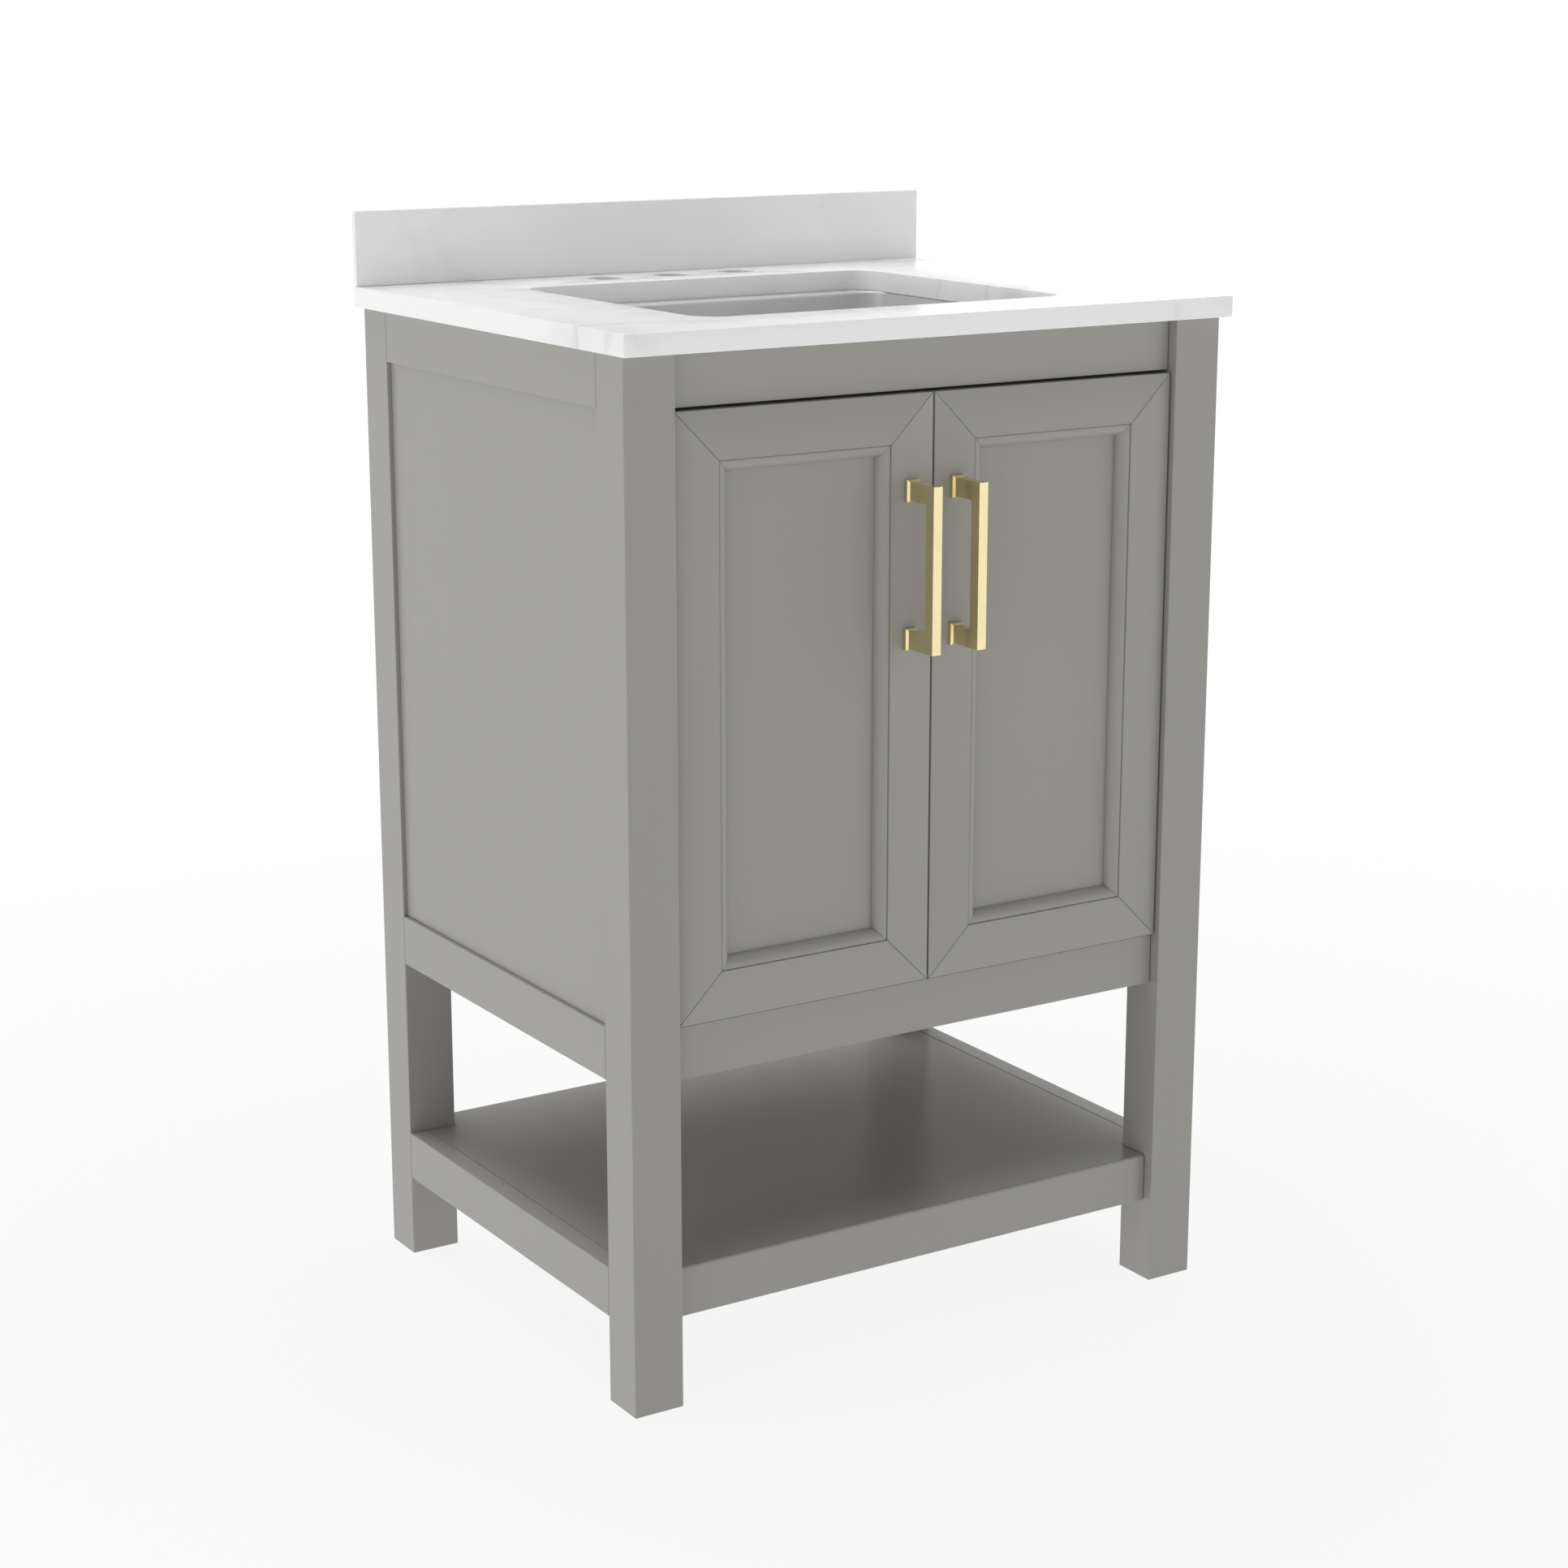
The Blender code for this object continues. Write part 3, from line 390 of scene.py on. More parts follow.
def rubber():
    """Soft clear bumper with a dusty skin."""
    material, tree, shader, coords = new_material("clear_rubber")
    cloud = spread(tree, noise(tree, coords, 400.0, 3.0), 0.93, 1.03, *NOISE_BULK)
    rough = spread(tree, noise(tree, coords, 600.0, 3.0), 0.35, 0.5, *NOISE_BULK)
    wire(tree, shader, colour=tint(tree, RUBBER_COLOUR, cloud), roughness=rough)
    shader.inputs["Transmission Weight"].default_value = RUBBER_CLEAR
    shader.inputs["IOR"].default_value = RUBBER_IOR
    return material


# Stretches that lay the grain along an axis.
ALONG_X, ALONG_Y, ALONG_Z = (0.06, 1.0, 1.0), (1.0, 0.06, 1.0), (1.0, 1.0, 0.06)
PAINT_X = painted("satin_paint_rail", PAINT_COLOUR, ALONG_X, PAINT_ROUGHNESS)
PAINT_Y = painted("satin_paint_side_rail", PAINT_COLOUR, ALONG_Y, PAINT_ROUGHNESS)
PAINT_Z = painted("satin_paint_post", PAINT_COLOUR, ALONG_Z, PAINT_ROUGHNESS)
PAINT_SHELF = painted("satin_paint_shelf", PAINT_COLOUR, ALONG_X, SHELF_ROUGHNESS)
BOARD = painted("lacquered_board", BOARD_COLOUR, ALONG_X, BOARD_ROUGHNESS)
# the cabinet floor, with painted shade (a darkened raw brown) on its faces that look down
SHADED_UNDERSIDE = painted("floor_board", BOARD_COLOUR, ALONG_X, BOARD_ROUGHNESS, RAW_AND_SHADE_COLOUR)
STONE = stone()
GLAZE = ceramic()
BRASS_BAR = brushed("brushed_brass", BRASS, BRASS_ROUGHNESS, (40.0, 40.0, 1.0), BRASS_RUB)
NICKEL = brushed("nickel_steel", STEEL, STEEL_ROUGHNESS, (6.0, 1.0, 6.0))
ZINC = brushed("zinc_steel", ZINC_COLOUR, ZINC_ROUGHNESS, (8.0, 8.0, 8.0))
RUBBER = rubber()
SEALANT = painted("white_sealant", SEALANT_COLOUR, ALONG_X, SEALANT_ROUGHNESS)


# ---------------------------------------------------------------- pieces

def place(x, y, z):
    """A point from the cabinet's middle plane, the posts' front faces and the floor."""
    return Vector((x, FRONT_Y + y, z))


def side_name(side):
    return "left" if side < 0 else "right"


def to_mesh(bm, name, smooth=30):
    """A mesh shaded smooth where its faces meet at less than so many degrees."""
    mesh = bpy.data.meshes.new(name)
    bm.normal_update()
    bm.to_mesh(mesh)
    bm.free()
    mesh.shade_smooth()
    mesh.set_sharp_from_angle(angle=radians(smooth))
    return mesh


def evaluated_mesh(obj):
    """A new mesh of an object with its modifiers, or of a curve."""
    bpy.context.view_layer.update()
    depsgraph = bpy.context.evaluated_depsgraph_get()
    return bpy.data.meshes.new_from_object(obj.evaluated_get(depsgraph))


def skin(bm, rings, closed=False):
    """Quads from each ring to the next, closed on themselves or with a face at either end."""
    loops = [[bm.verts.new(point) for point in ring] for ring in rings]
    following = loops[1:] + loops[:1] if closed else loops[1:]
    for first, second in zip(loops, following):
        for index in range(len(first)):
            after = (index + 1) % len(first)
            bm.faces.new((first[index], first[after], second[after], second[index]))
    if not closed:
        bm.faces.new(loops[0][::-1])
        bm.faces.new(loops[-1])


def note_box(obj):
    """Keeps a piece's own box on it, for the paint and metal that wear on its arrises."""
    points = [vertex.co for vertex in obj.data.vertices]
    obj["box_low"] = tuple(min(point[axis] for point in points) for axis in range(3))
    obj["box_high"] = tuple(max(point[axis] for point in points) for axis in range(3))


def piece(name, mesh, material, body, replaced=()):
    obj = bpy.data.objects.new(name, mesh)
    bpy.context.scene.collection.objects.link(obj)
    mesh.materials.clear()
    mesh.materials.append(material)
    note_box(obj)
    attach(obj, body)
    if replaced:
        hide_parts(*replaced)
    return obj


def soften(obj, width, segments=2, angle=35):
    """Rounds a piece's arrises and evens its shading."""
    bevel = obj.modifiers.new("arris", "BEVEL")
    bevel.width = width
    bevel.segments = segments
    bevel.limit_method = "ANGLE"
    bevel.angle_limit = radians(angle)
    even = obj.modifiers.new("shading", "WEIGHTED_NORMAL")
    even.keep_sharp = True
    even.weight = 100


def carry(node, material, arris=0.0):
    """A CAD node that stays: it takes a finish, and its edges are welded and rounded."""
    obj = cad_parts[node]
    obj.data.materials.clear()
    obj.data.materials.append(material)
    note_box(obj)
    if arris:
        weld = obj.modifiers.new("weld", "WELD")
        weld.merge_threshold = WELD_GAP
        flat = obj.modifiers.new("flat", "DECIMATE")
        flat.decimate_type = "DISSOLVE"
        flat.angle_limit = radians(FLAT_ANGLE)
        soften(obj, arris)


def carried_nodes():
    for side in ("left", "right"):
        for row in ("front", "rear"):
            carry(f"{row}_{side}_leg", PAINT_Z, POST_ARRIS)
        for rail in ("top", "bottom", "shelf"):
            carry(f"{side}_side_{rail}_rail", PAINT_Y, RAIL_ARRIS)
        carry(f"{side}_side_panel", PAINT_Z, BOARD_ARRIS)
        carry(f"{side}_hinge_strip", BOARD, RAIL_ARRIS)
        carry(f"{side}_door_bumper", RUBBER)
        carry(f"{side}_door_panel", PAINT_Z, THIN_ARRIS)
        for level in ("upper", "lower"):
            carry(f"{side}_pull_{level}_screw", ZINC)
            carry(f"{side}_{level}_hinge_cup", NICKEL, CUP_ARRIS)
            carry(f"{side}_{level}_hinge_link", NICKEL, THIN_ARRIS)
            carry(f"{side}_{level}_hinge_arm", NICKEL, THIN_ARRIS)
    for row in ("front", "rear"):
        for rail in ("top", "bottom"):
            carry(f"{row}_{rail}_rail", PAINT_X, RAIL_ARRIS)
    carry("shelf", PAINT_SHELF, RAIL_ARRIS)
    carry("door_stop_rail", BOARD, RAIL_ARRIS)
    carry("cabinet_floor", SHADED_UNDERSIDE, BOARD_ARRIS)
    carry("back_panel", BOARD, BOARD_ARRIS)
    carry("backsplash", STONE, THIN_ARRIS)


# ---------------------------------------------------------------- stone top

def rounded_loop(low, high, radius, steps):
    """Points round a rectangle with rounded corners, anticlockwise."""
    points = []
    corners = (
        (high[0], high[1], 0.0), (low[0], high[1], 0.5),
        (low[0], low[1], 1.0), (high[0], low[1], 1.5),
    )
    for x, y, start in corners:
        cx = x - radius if x == high[0] else x + radius
        cy = y - radius if y == high[1] else y + radius
        for step in range(steps + 1):
            angle = pi * (start + 0.5 * step / steps)
            points.append((cx + radius * cos(angle), cy + radius * sin(angle)))
    return points


def slab_mesh(name, loops, thickness, arris, resolution=3):
    """A flat board from its outline and holes, with rounded arrises all round."""
    curve = bpy.data.curves.new(name, "CURVE")
    curve.dimensions = "2D"
    curve.fill_mode = "BOTH"
    curve.extrude = thickness / 2 - arris
    curve.bevel_depth = arris
    curve.bevel_resolution = resolution
    curve.offset = -arris
    for loop in loops:
        spline = curve.splines.new("POLY")
        spline.points.add(len(loop) - 1)
        spline.use_cyclic_u = True
        for point, (x, y) in zip(spline.points, loop):
            point.co = (x, y, 0.0, 1.0)
    shape = bpy.data.objects.new(name, curve)
    bpy.context.scene.collection.objects.link(shape)
    flat = evaluated_mesh(shape)
    bpy.data.objects.remove(shape, do_unlink=True)
    bm = bmesh.new()
    bm.from_mesh(flat)
    bpy.data.meshes.remove(flat)
    bmesh.ops.remove_doubles(bm, verts=bm.verts, dist=JOIN_GAP)
    bmesh.ops.recalc_face_normals(bm, faces=bm.faces)
    return bm


def countertop():
    low, high = TOP_LOW, TOP_HIGH
    outer = rounded_loop((low.x, low.y), (high.x, high.y), TOP_CORNER_R, 4)
    cut_low = (-CUTOUT_W / 2, FRONT_Y + CUTOUT_FRONT)
    cut_high = (CUTOUT_W / 2, FRONT_Y + CUTOUT_REAR)
    loops = [outer, rounded_loop(cut_low, cut_high, CUTOUT_R, CUTOUT_STEPS)[::-1]]
    turns = [2 * pi * step / FAUCET_SIDES for step in range(FAUCET_SIDES)]
    faucet_y = FRONT_Y + FAUCET_Y
    for offset in (-FAUCET_SPACING, 0.0, FAUCET_SPACING):
        loops.append([(offset + FAUCET_R * cos(a), faucet_y - FAUCET_R * sin(a)) for a in turns])
    bm = slab_mesh("stone_top", loops, high.z - low.z, TOP_ARRIS)
    bmesh.ops.translate(bm, vec=(0, 0, (low.z + high.z) / 2), verts=bm.verts)
    mesh = to_mesh(bm, "stone_top")
    piece("stone_top", mesh, STONE, "cabinet", ["countertop"])


# ---------------------------------------------------------------- basin

def basin_ring(half_x, front, rear, radius, bow, z, corner_steps=12, side_steps=14):
    """Points round a rectangle with rounded corners, whose rear side bows forward by bow."""
    corners = (
        (half_x - radius, rear - radius, 0.0),
        (-half_x + radius, rear - radius, 0.5 * pi),
        (-half_x + radius, front + radius, pi),
        (half_x - radius, front + radius, 1.5 * pi),
    )
    points = []
    for index, (cx, cy, start) in enumerate(corners):
        for step in range(corner_steps + 1):
            angle = start + 0.5 * pi * step / corner_steps
            points.append(Vector((cx + radius * cos(angle), cy + radius * sin(angle), z)))
        following = corners[(index + 1) % len(corners)]
        last = points[-1].copy()
        ahead = Vector((following[0] + radius * cos(angle), following[1] + radius * sin(angle), z))
        for step in range(1, side_steps):
            points.append(last.lerp(ahead, step / side_steps))
    for point in points:
        if point.y > rear - radius:
            weight = (point.y - rear + radius) / radius
            point.y -= weight * bow * max(0.0, 1.0 - (point.x / half_x) ** 2)
    return points


def drain_ring(radius, centre_y, z, outside):
    """A circle round the drain with one point for each of a ring outside it."""
    points = []
    for point in outside:
        away = Vector((point.x, point.y - centre_y, 0)).normalized() * radius
        points.append(Vector((away.x, centre_y + away.y, z)))
    return points


def basin_shape(inset, radius):
    """Half width, front, rear and corner radius of the bowl at so much in from its walls."""
    rear = CUTOUT_REAR - LEDGE_REAR
    return CUTOUT_W / 2 - inset, CUTOUT_FRONT + inset, rear - inset, radius


def flange_ring(z, inset=0.0):
    half = CUTOUT_W / 2 + BASIN_FLANGE - inset
    front, rear = CUTOUT_FRONT - BASIN_FLANGE + inset, CUTOUT_REAR + BASIN_FLANGE - inset
    return basin_ring(half, front, rear, CUTOUT_R + BASIN_FLANGE - inset, 0.0, z)


def floor_rings(thickness, steps=12):
    wall_low = BASIN_RIM_Z - BASIN_DEPTH + BASIN_FLOOR_R
    radius = BASIN_FLOOR_R + thickness
    rings = []
    for step in range(steps + 1):
        angle = 0.5 * pi * step / steps
        shape = basin_shape(BASIN_TAPER + BASIN_FLOOR_R - radius * cos(angle), radius)
        rings.append(basin_ring(*shape, LEDGE_BOW * cos(angle), wall_low - radius * sin(angle)))
    return rings


def drain_rings(thickness, floor):
    """The floor falls gently to a rounded step and the drain's seat, then turns down its hole."""
    centre_y = (CUTOUT_FRONT + CUTOUT_REAR - LEDGE_REAR) / 2
    floor_z = floor[0].z
    seat_z = BASIN_RIM_Z - BASIN_DEPTH - DRAIN_FALL - thickness
    rings = []
    for share in FALL_SHARES:
        ring = drain_ring(DRAIN_R * DRAIN_SLOPE_END, centre_y, floor_z, floor)
        z = floor_z + (seat_z + DRAIN_STEP - floor_z) * share ** FALL_CURVE
        rings.append([Vector((*a.lerp(b, share).xy, z)) for a, b in zip(floor, ring)])
    for scale, rise in DRAIN_SEAT:
        rings.append(drain_ring(DRAIN_R * scale, centre_y, seat_z + rise, floor))
    if not thickness:
        turn = 0.3 * GLAZE_EASE
        rings.append(drain_ring(DRAIN_R + GLAZE_EASE, centre_y, seat_z, floor))
        rings.append(drain_ring(DRAIN_R + turn, centre_y, seat_z - turn, floor))
    hole_z = seat_z if thickness else seat_z - GLAZE_EASE
    rings.append(drain_ring(DRAIN_R, centre_y, hole_z, floor))
    return rings


def sink_basin():
    rims = [flange_ring(BASIN_RIM_Z - GLAZE_EASE), flange_ring(BASIN_RIM_Z, GLAZE_EASE)]
    steps = 8
    for step in range(steps + 1):
        angle = 0.5 * pi * step / steps
        inset = BASIN_LIP * (sin(angle) - 1.0)
        shape = basin_shape(inset, CUTOUT_R - inset)
        rims.append(basin_ring(*shape, LEDGE_BOW, BASIN_RIM_Z - BASIN_LIP * (1.0 - cos(angle))))
    floor = floor_rings(0.0)
    inside = rims + floor + drain_rings(0.0, floor[-1])
    under_z = BASIN_RIM_Z - BASIN_T
    under_rim = basin_ring(*basin_shape(-BASIN_T, CUTOUT_R + BASIN_T), LEDGE_BOW, under_z)
    under_floor = floor_rings(BASIN_T)
    underside = [flange_ring(under_z), under_rim] + under_floor
    underside += drain_rings(BASIN_T, under_floor[-1])
    bm = bmesh.new()
    rings = [[place(*point) for point in ring] for ring in inside + underside[::-1]]
    skin(bm, rings, closed=True)
    mesh = to_mesh(bm, "glazed_basin", smooth=40)
    piece("glazed_basin", mesh, GLAZE, "cabinet", ["sink_basin"])


def sealant():
    """A thin bead all round the joint between the stone and the basin."""
    steps = 12
    rings = []
    for step in range(steps):
        angle = 2 * pi * step / steps
        offset = SEALANT_R * cos(angle) + SEALANT_R / 2
        low = (-CUTOUT_W / 2 - offset, FRONT_Y + CUTOUT_FRONT - offset)
        high = (CUTOUT_W / 2 + offset, FRONT_Y + CUTOUT_REAR + offset)
        z = (TOP_LOW.z + BASIN_RIM_Z) / 2 + SEALANT_R * sin(angle)
        loop = rounded_loop(low, high, CUTOUT_R + offset, CUTOUT_STEPS)
        rings.append([(x, y, z) for x, y in loop])
    bm = bmesh.new()
    skin(bm, rings, closed=True)
    bmesh.ops.recalc_face_normals(bm, faces=bm.faces)
    piece("basin_sealant", to_mesh(bm, "basin_sealant", smooth=60), SEALANT, "cabinet")


# ---------------------------------------------------------------- screws

def cut(solid, cutter):
    """A solid with another one's volume taken out of it."""
    shapes = []
    for bm in (solid, cutter):
        mesh = bpy.data.meshes.new("shape")
        bmesh.ops.recalc_face_normals(bm, faces=bm.faces)
        bm.to_mesh(mesh)
        bm.free()
        shapes.append(bpy.data.objects.new("shape", mesh))
        bpy.context.scene.collection.objects.link(shapes[-1])
    taken = shapes[0].modifiers.new("taken", "BOOLEAN")
    taken.operation = "DIFFERENCE"
    taken.solver = "EXACT"
    taken.object = shapes[1]
    result = bmesh.new()
    mesh = evaluated_mesh(shapes[0])
    result.from_mesh(mesh)
    bpy.data.meshes.remove(mesh)
    for shape in shapes:
        bpy.data.objects.remove(shape, do_unlink=True)
    return result


def pan_head(radius, height, sides=28):
    """A domed screw head with a cross recess, standing on Z = 0."""
    head = bmesh.new()
    profile = [(radius, -height / 4), (radius, height * HEAD_WALL)]
    for rise in range(15, 90, 15):
        angle = radians(rise)
        profile.append((radius * cos(angle), height * (HEAD_WALL + (1.0 - HEAD_WALL) * sin(angle))))
    turns = [2 * pi * step / sides for step in range(sides)]
    skin(head, [[(r * cos(a), r * sin(a), z) for a in turns] for r, z in profile])
    cross = bmesh.new()
    arm, half = radius * CROSS_ARM, radius * CROSS_HALF
    outline = []
    for quarter in range(4):
        turn = Matrix.Rotation(pi / 2 * quarter, 2)
        outline += [turn @ Vector(corner) for corner in ((arm, -half), (arm, half), (half, half))]
    skin(cross, [[(*corner, z) for corner in outline] for z in (height * CROSS_FLOOR, height * 2)])
    return cut(head, cross)


def screw_heads(name, seats, facing, radius, material, body):
    """One head at each seat, facing along a direction, each turned a little from the last."""
    head = to_mesh(pan_head(radius, radius * HEAD_HEIGHT), "pan_head")
    outward = Vector(facing).to_track_quat("Z", "Y").to_matrix().to_4x4()
    bm = bmesh.new()
    for number, seat in enumerate(seats):
        before = len(bm.verts)
        bm.from_mesh(head)
        bm.verts.ensure_lookup_table()
        turn = outward @ Matrix.Rotation(SCREW_TURN * number, 4, "Z")
        bmesh.ops.transform(bm, matrix=Matrix.Translation(seat) @ turn, verts=bm.verts[before:])
    bpy.data.meshes.remove(head)
    piece(name, to_mesh(bm, name), material, body)


def hinge_screws(side):
    """Two heads on each cup's flange, two on each mounting plate and two adjusters on each arm."""
    name = side_name(side)
    cups, plates, adjusters = [], [], []
    for level in ("upper", "lower"):
        low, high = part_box(f"{name}_{level}_hinge_cup")
        middle = (low + high) / 2
        cups += [Vector((middle.x, high.y, middle.z + way * CUP_SCREW_Z)) for way in (-1, 1)]
        low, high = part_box(f"{name}_{level}_hinge_arm")
        wall, web = (low.x, high.x) if side < 0 else (high.x, low.x)
        for way in (-1, 1):
            at_z = (low.z + high.z) / 2 + way * PLATE_SCREW_Z
            plates.append(Vector((wall - side * PLATE_T, high.y - PLATE_SCREW_BACK, at_z)))
        for back in ADJUSTER_BACK:
            adjusters.append(Vector((web, high.y - back, (low.z + high.z) / 2)))
    inward = (-side, 0, 0)
    screw_heads(f"{name}_cup_screws", cups, (0, 1, 0), HINGE_SCREW_R, ZINC, f"{name}_door")
    screw_heads(f"{name}_plate_screws", plates, inward, HINGE_SCREW_R, ZINC, "cabinet")
    screw_heads(f"{name}_arm_adjusters", adjusters, inward, ADJUSTER_R, ZINC, "cabinet")


def back_screws():
    """Heads at the back panel's corners and halfway along its sides."""
    low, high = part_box("back_panel")
    seats = []
    for x in (low.x + BACK_SCREW_IN, 0.0, high.x - BACK_SCREW_IN):
        for z in (low.z + BACK_SCREW_IN, (low.z + high.z) / 2, high.z - BACK_SCREW_IN):
            if x or z in (low.z + BACK_SCREW_IN, high.z - BACK_SCREW_IN):
                seats.append(Vector((x, high.y, z)))
    screw_heads("back_panel_screws", seats, (0, 1, 0), BACK_SCREW_R, ZINC, "cabinet")


# ---------------------------------------------------------------- doors

def arc(cx, cy, radius, start, end, steps):
    """Points on an arc between two angles in degrees."""
    angles = [radians(start + (end - start) * i / steps) for i in range(steps + 1)]
    return [(cx + radius * cos(a), cy + radius * sin(a)) for a in angles]


def mould_profile(steps=18):
    """Section of a frame member: X in from its outer edge, Y back from its front face."""
    edge = FRAME_FLAT + MOULD_W
    r = DOOR_ARRIS
    points = arc(r, r, r, 180, 270, 3)
    points += [(FRAME_FLAT - QUIRK_EASE, 0.0), (FRAME_FLAT, QUIRK_EASE)]
    points.append((FRAME_FLAT + QUIRK_SLOPE, QUIRK + QUIRK_SINK))
    start = FRAME_FLAT + QUIRK_W
    drop = PANEL_SET_BACK - FIT - QUIRK
    points.append((start, QUIRK + QUIRK_SLOPE))
    for step in range(1, steps + 1):
        angle = OVOLO_END * step / steps
        along = sin(angle) / sin(OVOLO_END)
        down = (1.0 - cos(angle)) / (1.0 - cos(OVOLO_END))
        points.append((start + (edge - start) * along, QUIRK + drop * down))
    groove = edge - PANEL_GROOVE
    back = PANEL_SET_BACK + PANEL_T + FIT
    points += [(groove, PANEL_SET_BACK - FIT), (groove, back), (edge, back)]
    points += [(edge, DOOR_T - BACK_ARRIS), (edge - BACK_ARRIS, DOOR_T)]
    points += arc(r, DOOR_T - r, r, 90, 180, 3)
    return points


def frame_member(name, node, length, turn, origin, body, material):
    """A moulded member with mitred ends; its outer edge runs along Z before it is turned."""
    bm = bmesh.new()
    profile = mould_profile()
    rings = []
    for way, ease in ((-1, 0.0), (-1, MITRE_EASE), (1, MITRE_EASE), (1, 0.0)):
        face = 0.0 if ease else MITRE_EASE
        end = length / 2 - FIT / 2 - ease
        rings.append([(x, max(y, face), way * (end - x)) for x, y in profile])
    skin(bm, rings)
    bmesh.ops.recalc_face_normals(bm, faces=bm.faces)
    bmesh.ops.transform(bm, matrix=Matrix.Translation(origin) @ turn, verts=bm.verts)
    if turn.determinant() < 0:
        bmesh.ops.reverse_faces(bm, faces=bm.faces)
    bmesh.ops.recalc_face_normals(bm, faces=bm.faces)
    piece(name, to_mesh(bm, name, smooth=25), material, body, [node])


def door(side):
    """Four mitred members; one outline serves them all, turned and mirrored into place."""
    name = side_name(side)
    body = f"{name}_door"
    height = DOOR_TOP - DOOR_LOW
    middle_x = side * (HINGE_X - DOOR_W / 2)
    middle_z = (DOOR_LOW + DOOR_TOP) / 2
    flipped = Matrix.Diagonal((-1, 1, 1, 1))
    outer = flipped if side > 0 else Matrix.Identity(4)
    inner = Matrix.Identity(4) if side > 0 else flipped
    downward = Matrix.Rotation(radians(90), 4, "Y")
    upward = Matrix.Rotation(radians(-90), 4, "Y")
    members = {
        "hinge_stile": (height, outer, (side * HINGE_X, middle_z), PAINT_Z),
        "lock_stile": (height, inner, (side * (HINGE_X - DOOR_W), middle_z), PAINT_Z),
        "top_rail": (DOOR_W, downward, (middle_x, DOOR_TOP), PAINT_X),
        "bottom_rail": (DOOR_W, upward, (middle_x, DOOR_LOW), PAINT_X),
    }
    for part, (length, turn, (x, z), paint) in members.items():
        node = f"{name}_door_{part}"
        at = Vector((x, DOOR_FRONT, z))
        frame_member(f"{name}_moulded_{part}", node, length, turn, at, body, paint)


# ---------------------------------------------------------------- pulls

def pull(side):
    """A square bar bent into two arms, each on a chamfered foot."""
    name = side_name(side)
    body = f"{name}_door"
    low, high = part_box(f"{name}_pull_bar")
    bar_back = low.y + PULL_BAR
    inner_high, inner_low = high.z - ARM_H, low.z + ARM_H
    outline = [
        (high.y, high.z), (low.y, high.z), (low.y, low.z), (high.y, low.z),
        (high.y, inner_low),
        *arc(bar_back + PULL_FILLET, inner_low + PULL_FILLET, PULL_FILLET, 270, 180, 6),
        *arc(bar_back + PULL_FILLET, inner_high - PULL_FILLET, PULL_FILLET, 180, 90, 6),
        (high.y, inner_high),
    ]
    bm = bmesh.new()
    skin(bm, [[(x, y, z) for y, z in outline] for x in (low.x, high.x)])
    bmesh.ops.recalc_face_normals(bm, faces=bm.faces)
    bar = piece(f"{name}_brass_bar", to_mesh(bm, f"{name}_brass_bar"), BRASS_BAR, body,
                [f"{name}_pull_bar"])
    soften(bar, PULL_EASE, 3)
    for level in ("upper", "lower"):
        node = f"{name}_pull_{level}_foot"
        low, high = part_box(node)
        corners = ((0.0, high.y), (0.0, low.y + FOOT_CHAMFER), (FOOT_CHAMFER, low.y))
        rings = []
        for inset, y in corners:
            x0, x1, z0, z1 = low.x + inset, high.x - inset, low.z + inset, high.z - inset
            rings.append(((x0, y, z0), (x1, y, z0), (x1, y, z1), (x0, y, z1)))
        bm = bmesh.new()
        skin(bm, rings)
        bmesh.ops.recalc_face_normals(bm, faces=bm.faces)
        foot = piece(f"{name}_{level}_brass_foot", to_mesh(bm, node), BRASS_BAR, body,
                     [node])
        soften(foot, FOOT_EASE, 2, 20)


# ---------------------------------------------------------------- floor, light and camera

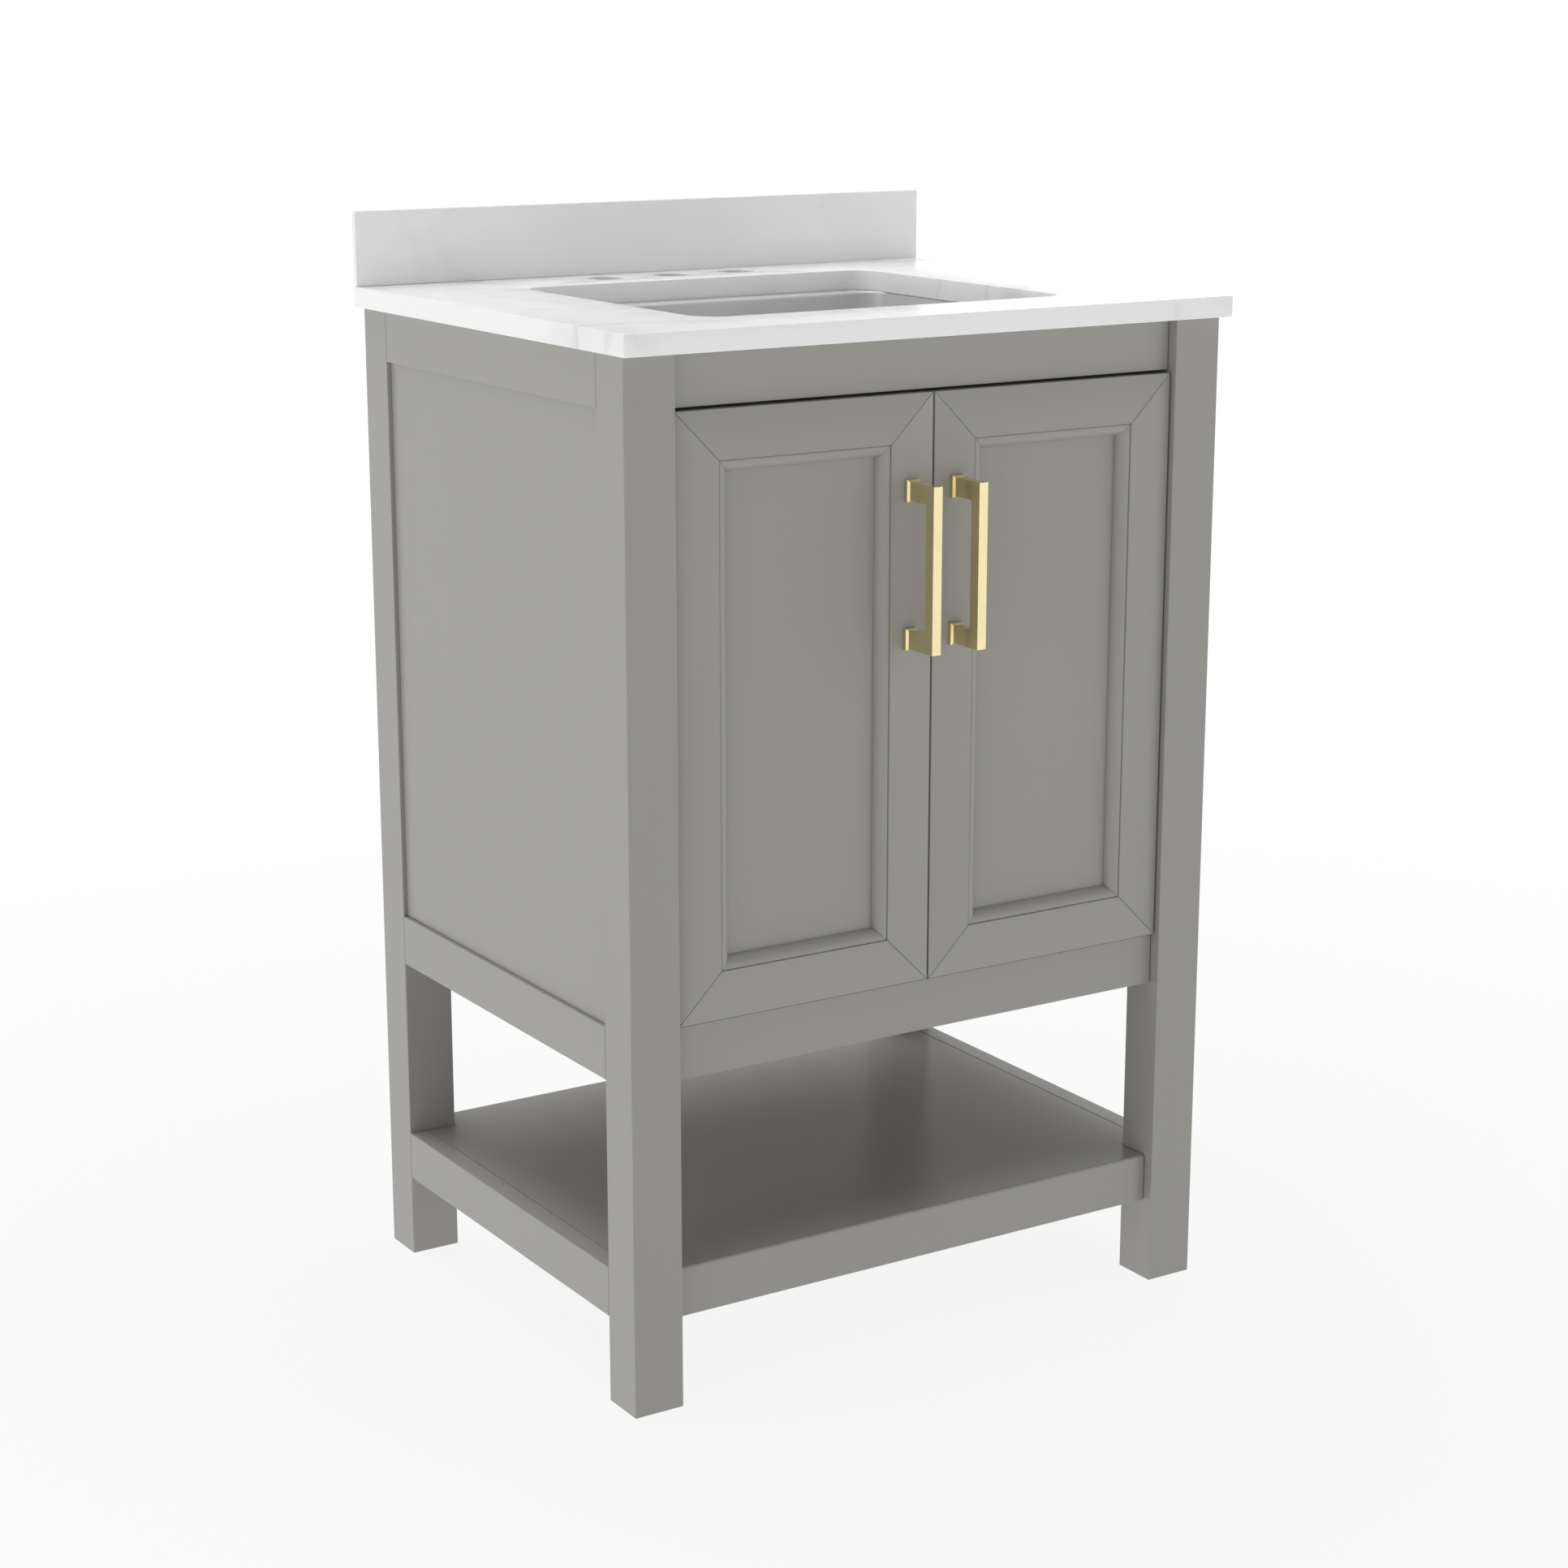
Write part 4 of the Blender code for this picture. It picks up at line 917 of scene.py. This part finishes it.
def floor():
    """A pale floor that glows into the white background without a line and reflects little; its
    glow is dimmer near the cabinet, a painted shade round it.
    """
    bm = bmesh.new()
    bmesh.ops.create_grid(bm, x_segments=8, y_segments=8, size=FLOOR_REACH)
    mesh = bpy.data.meshes.new("studio_floor")
    bm.to_mesh(mesh)
    bm.free()
    material, tree, shader, coords = new_material("studio_floor")
    reach = add(tree, "VectorMath", {0: coords}, operation="LENGTH").outputs["Value"]
    # painted shade: the floor glows less near the cabinet than far from it
    glow = spread(tree, reach, FLOOR_SHADED_NEAR, FLOOR_FAR, FLOOR_GLOW_FROM, FLOOR_GLOW_TO)
    grain = spread(tree, noise(tree, coords, 3.0, 3.0), 0.995, 1.005)
    wire(tree, shader, colour=tint(tree, FLOOR_COLOUR, grain))
    shader.inputs["Roughness"].default_value = 1.0
    shader.inputs["Specular IOR Level"].default_value = 0.0
    shader.inputs["Emission Color"].default_value = (1.0, 1.0, 1.0, 1.0)
    tree.links.new(glow, shader.inputs["Emission Strength"])
    mesh.materials.append(material)
    obj = bpy.data.objects.new("studio_floor", mesh)
    obj.location.z = -FLOOR_DROP
    bpy.context.scene.collection.objects.link(obj)


def studio():
    """Large soft lights round a white room, which the camera sees as plain white."""
    world = bpy.data.worlds.new("studio")
    world.use_nodes = True
    tree = world.node_tree
    background = tree.nodes["Background"]
    way = add(tree, "TexCoord").outputs["Generated"]
    height = add(tree, "SeparateXYZ", {0: way}).outputs[2]
    below_top = maths(tree, "SUBTRACT", 1.0, maths(tree, "MAXIMUM", height, 0.0))
    strength, tightness, rest = BAND
    fall = maths(tree, "POWER", below_top, tightness)
    light = maths(tree, "ADD", maths(tree, "MULTIPLY", fall, strength), rest)
    for direction, tightness, strength in SOFTBOXES:
        centre = Vector(direction).normalized()
        facing = add(tree, "VectorMath", {0: way, 1: centre}, operation="DOT_PRODUCT")
        near = maths(tree, "MAXIMUM", facing.outputs["Value"], 0.0)
        lobe = maths(tree, "POWER", near, tightness)
        light = maths(tree, "ADD", light, maths(tree, "MULTIPLY", lobe, strength))
    seen = add(tree, "LightPath").outputs["Is Camera Ray"]
    total = add(tree, "Mix", {0: seen, 2: light, 3: 1.0}, data_type="FLOAT").outputs[0]
    background.inputs["Color"].default_value = (1.0, 1.0, 1.0, 1.0)
    tree.links.new(total, background.inputs["Strength"])
    bpy.context.scene.world = world
    bpy.context.scene.view_settings.view_transform = "Standard"
    floor()


def camera():
    data = bpy.data.cameras.new("camera")
    data.sensor_width = SENSOR
    data.lens = LENS
    obj = bpy.data.objects.new("camera", data)
    obj.location = CAMERA_AT
    obj.rotation_euler = (radians(90.0 - CAMERA_DOWN), 0.0, radians(CAMERA_TURN))
    bpy.context.scene.collection.objects.link(obj)
    bpy.context.scene.camera = obj


camera()
studio()
carried_nodes()
countertop()
sink_basin()
sealant()
back_screws()
for side in (-1, 1):
    door(side)
    pull(side)
    hinge_screws(side)
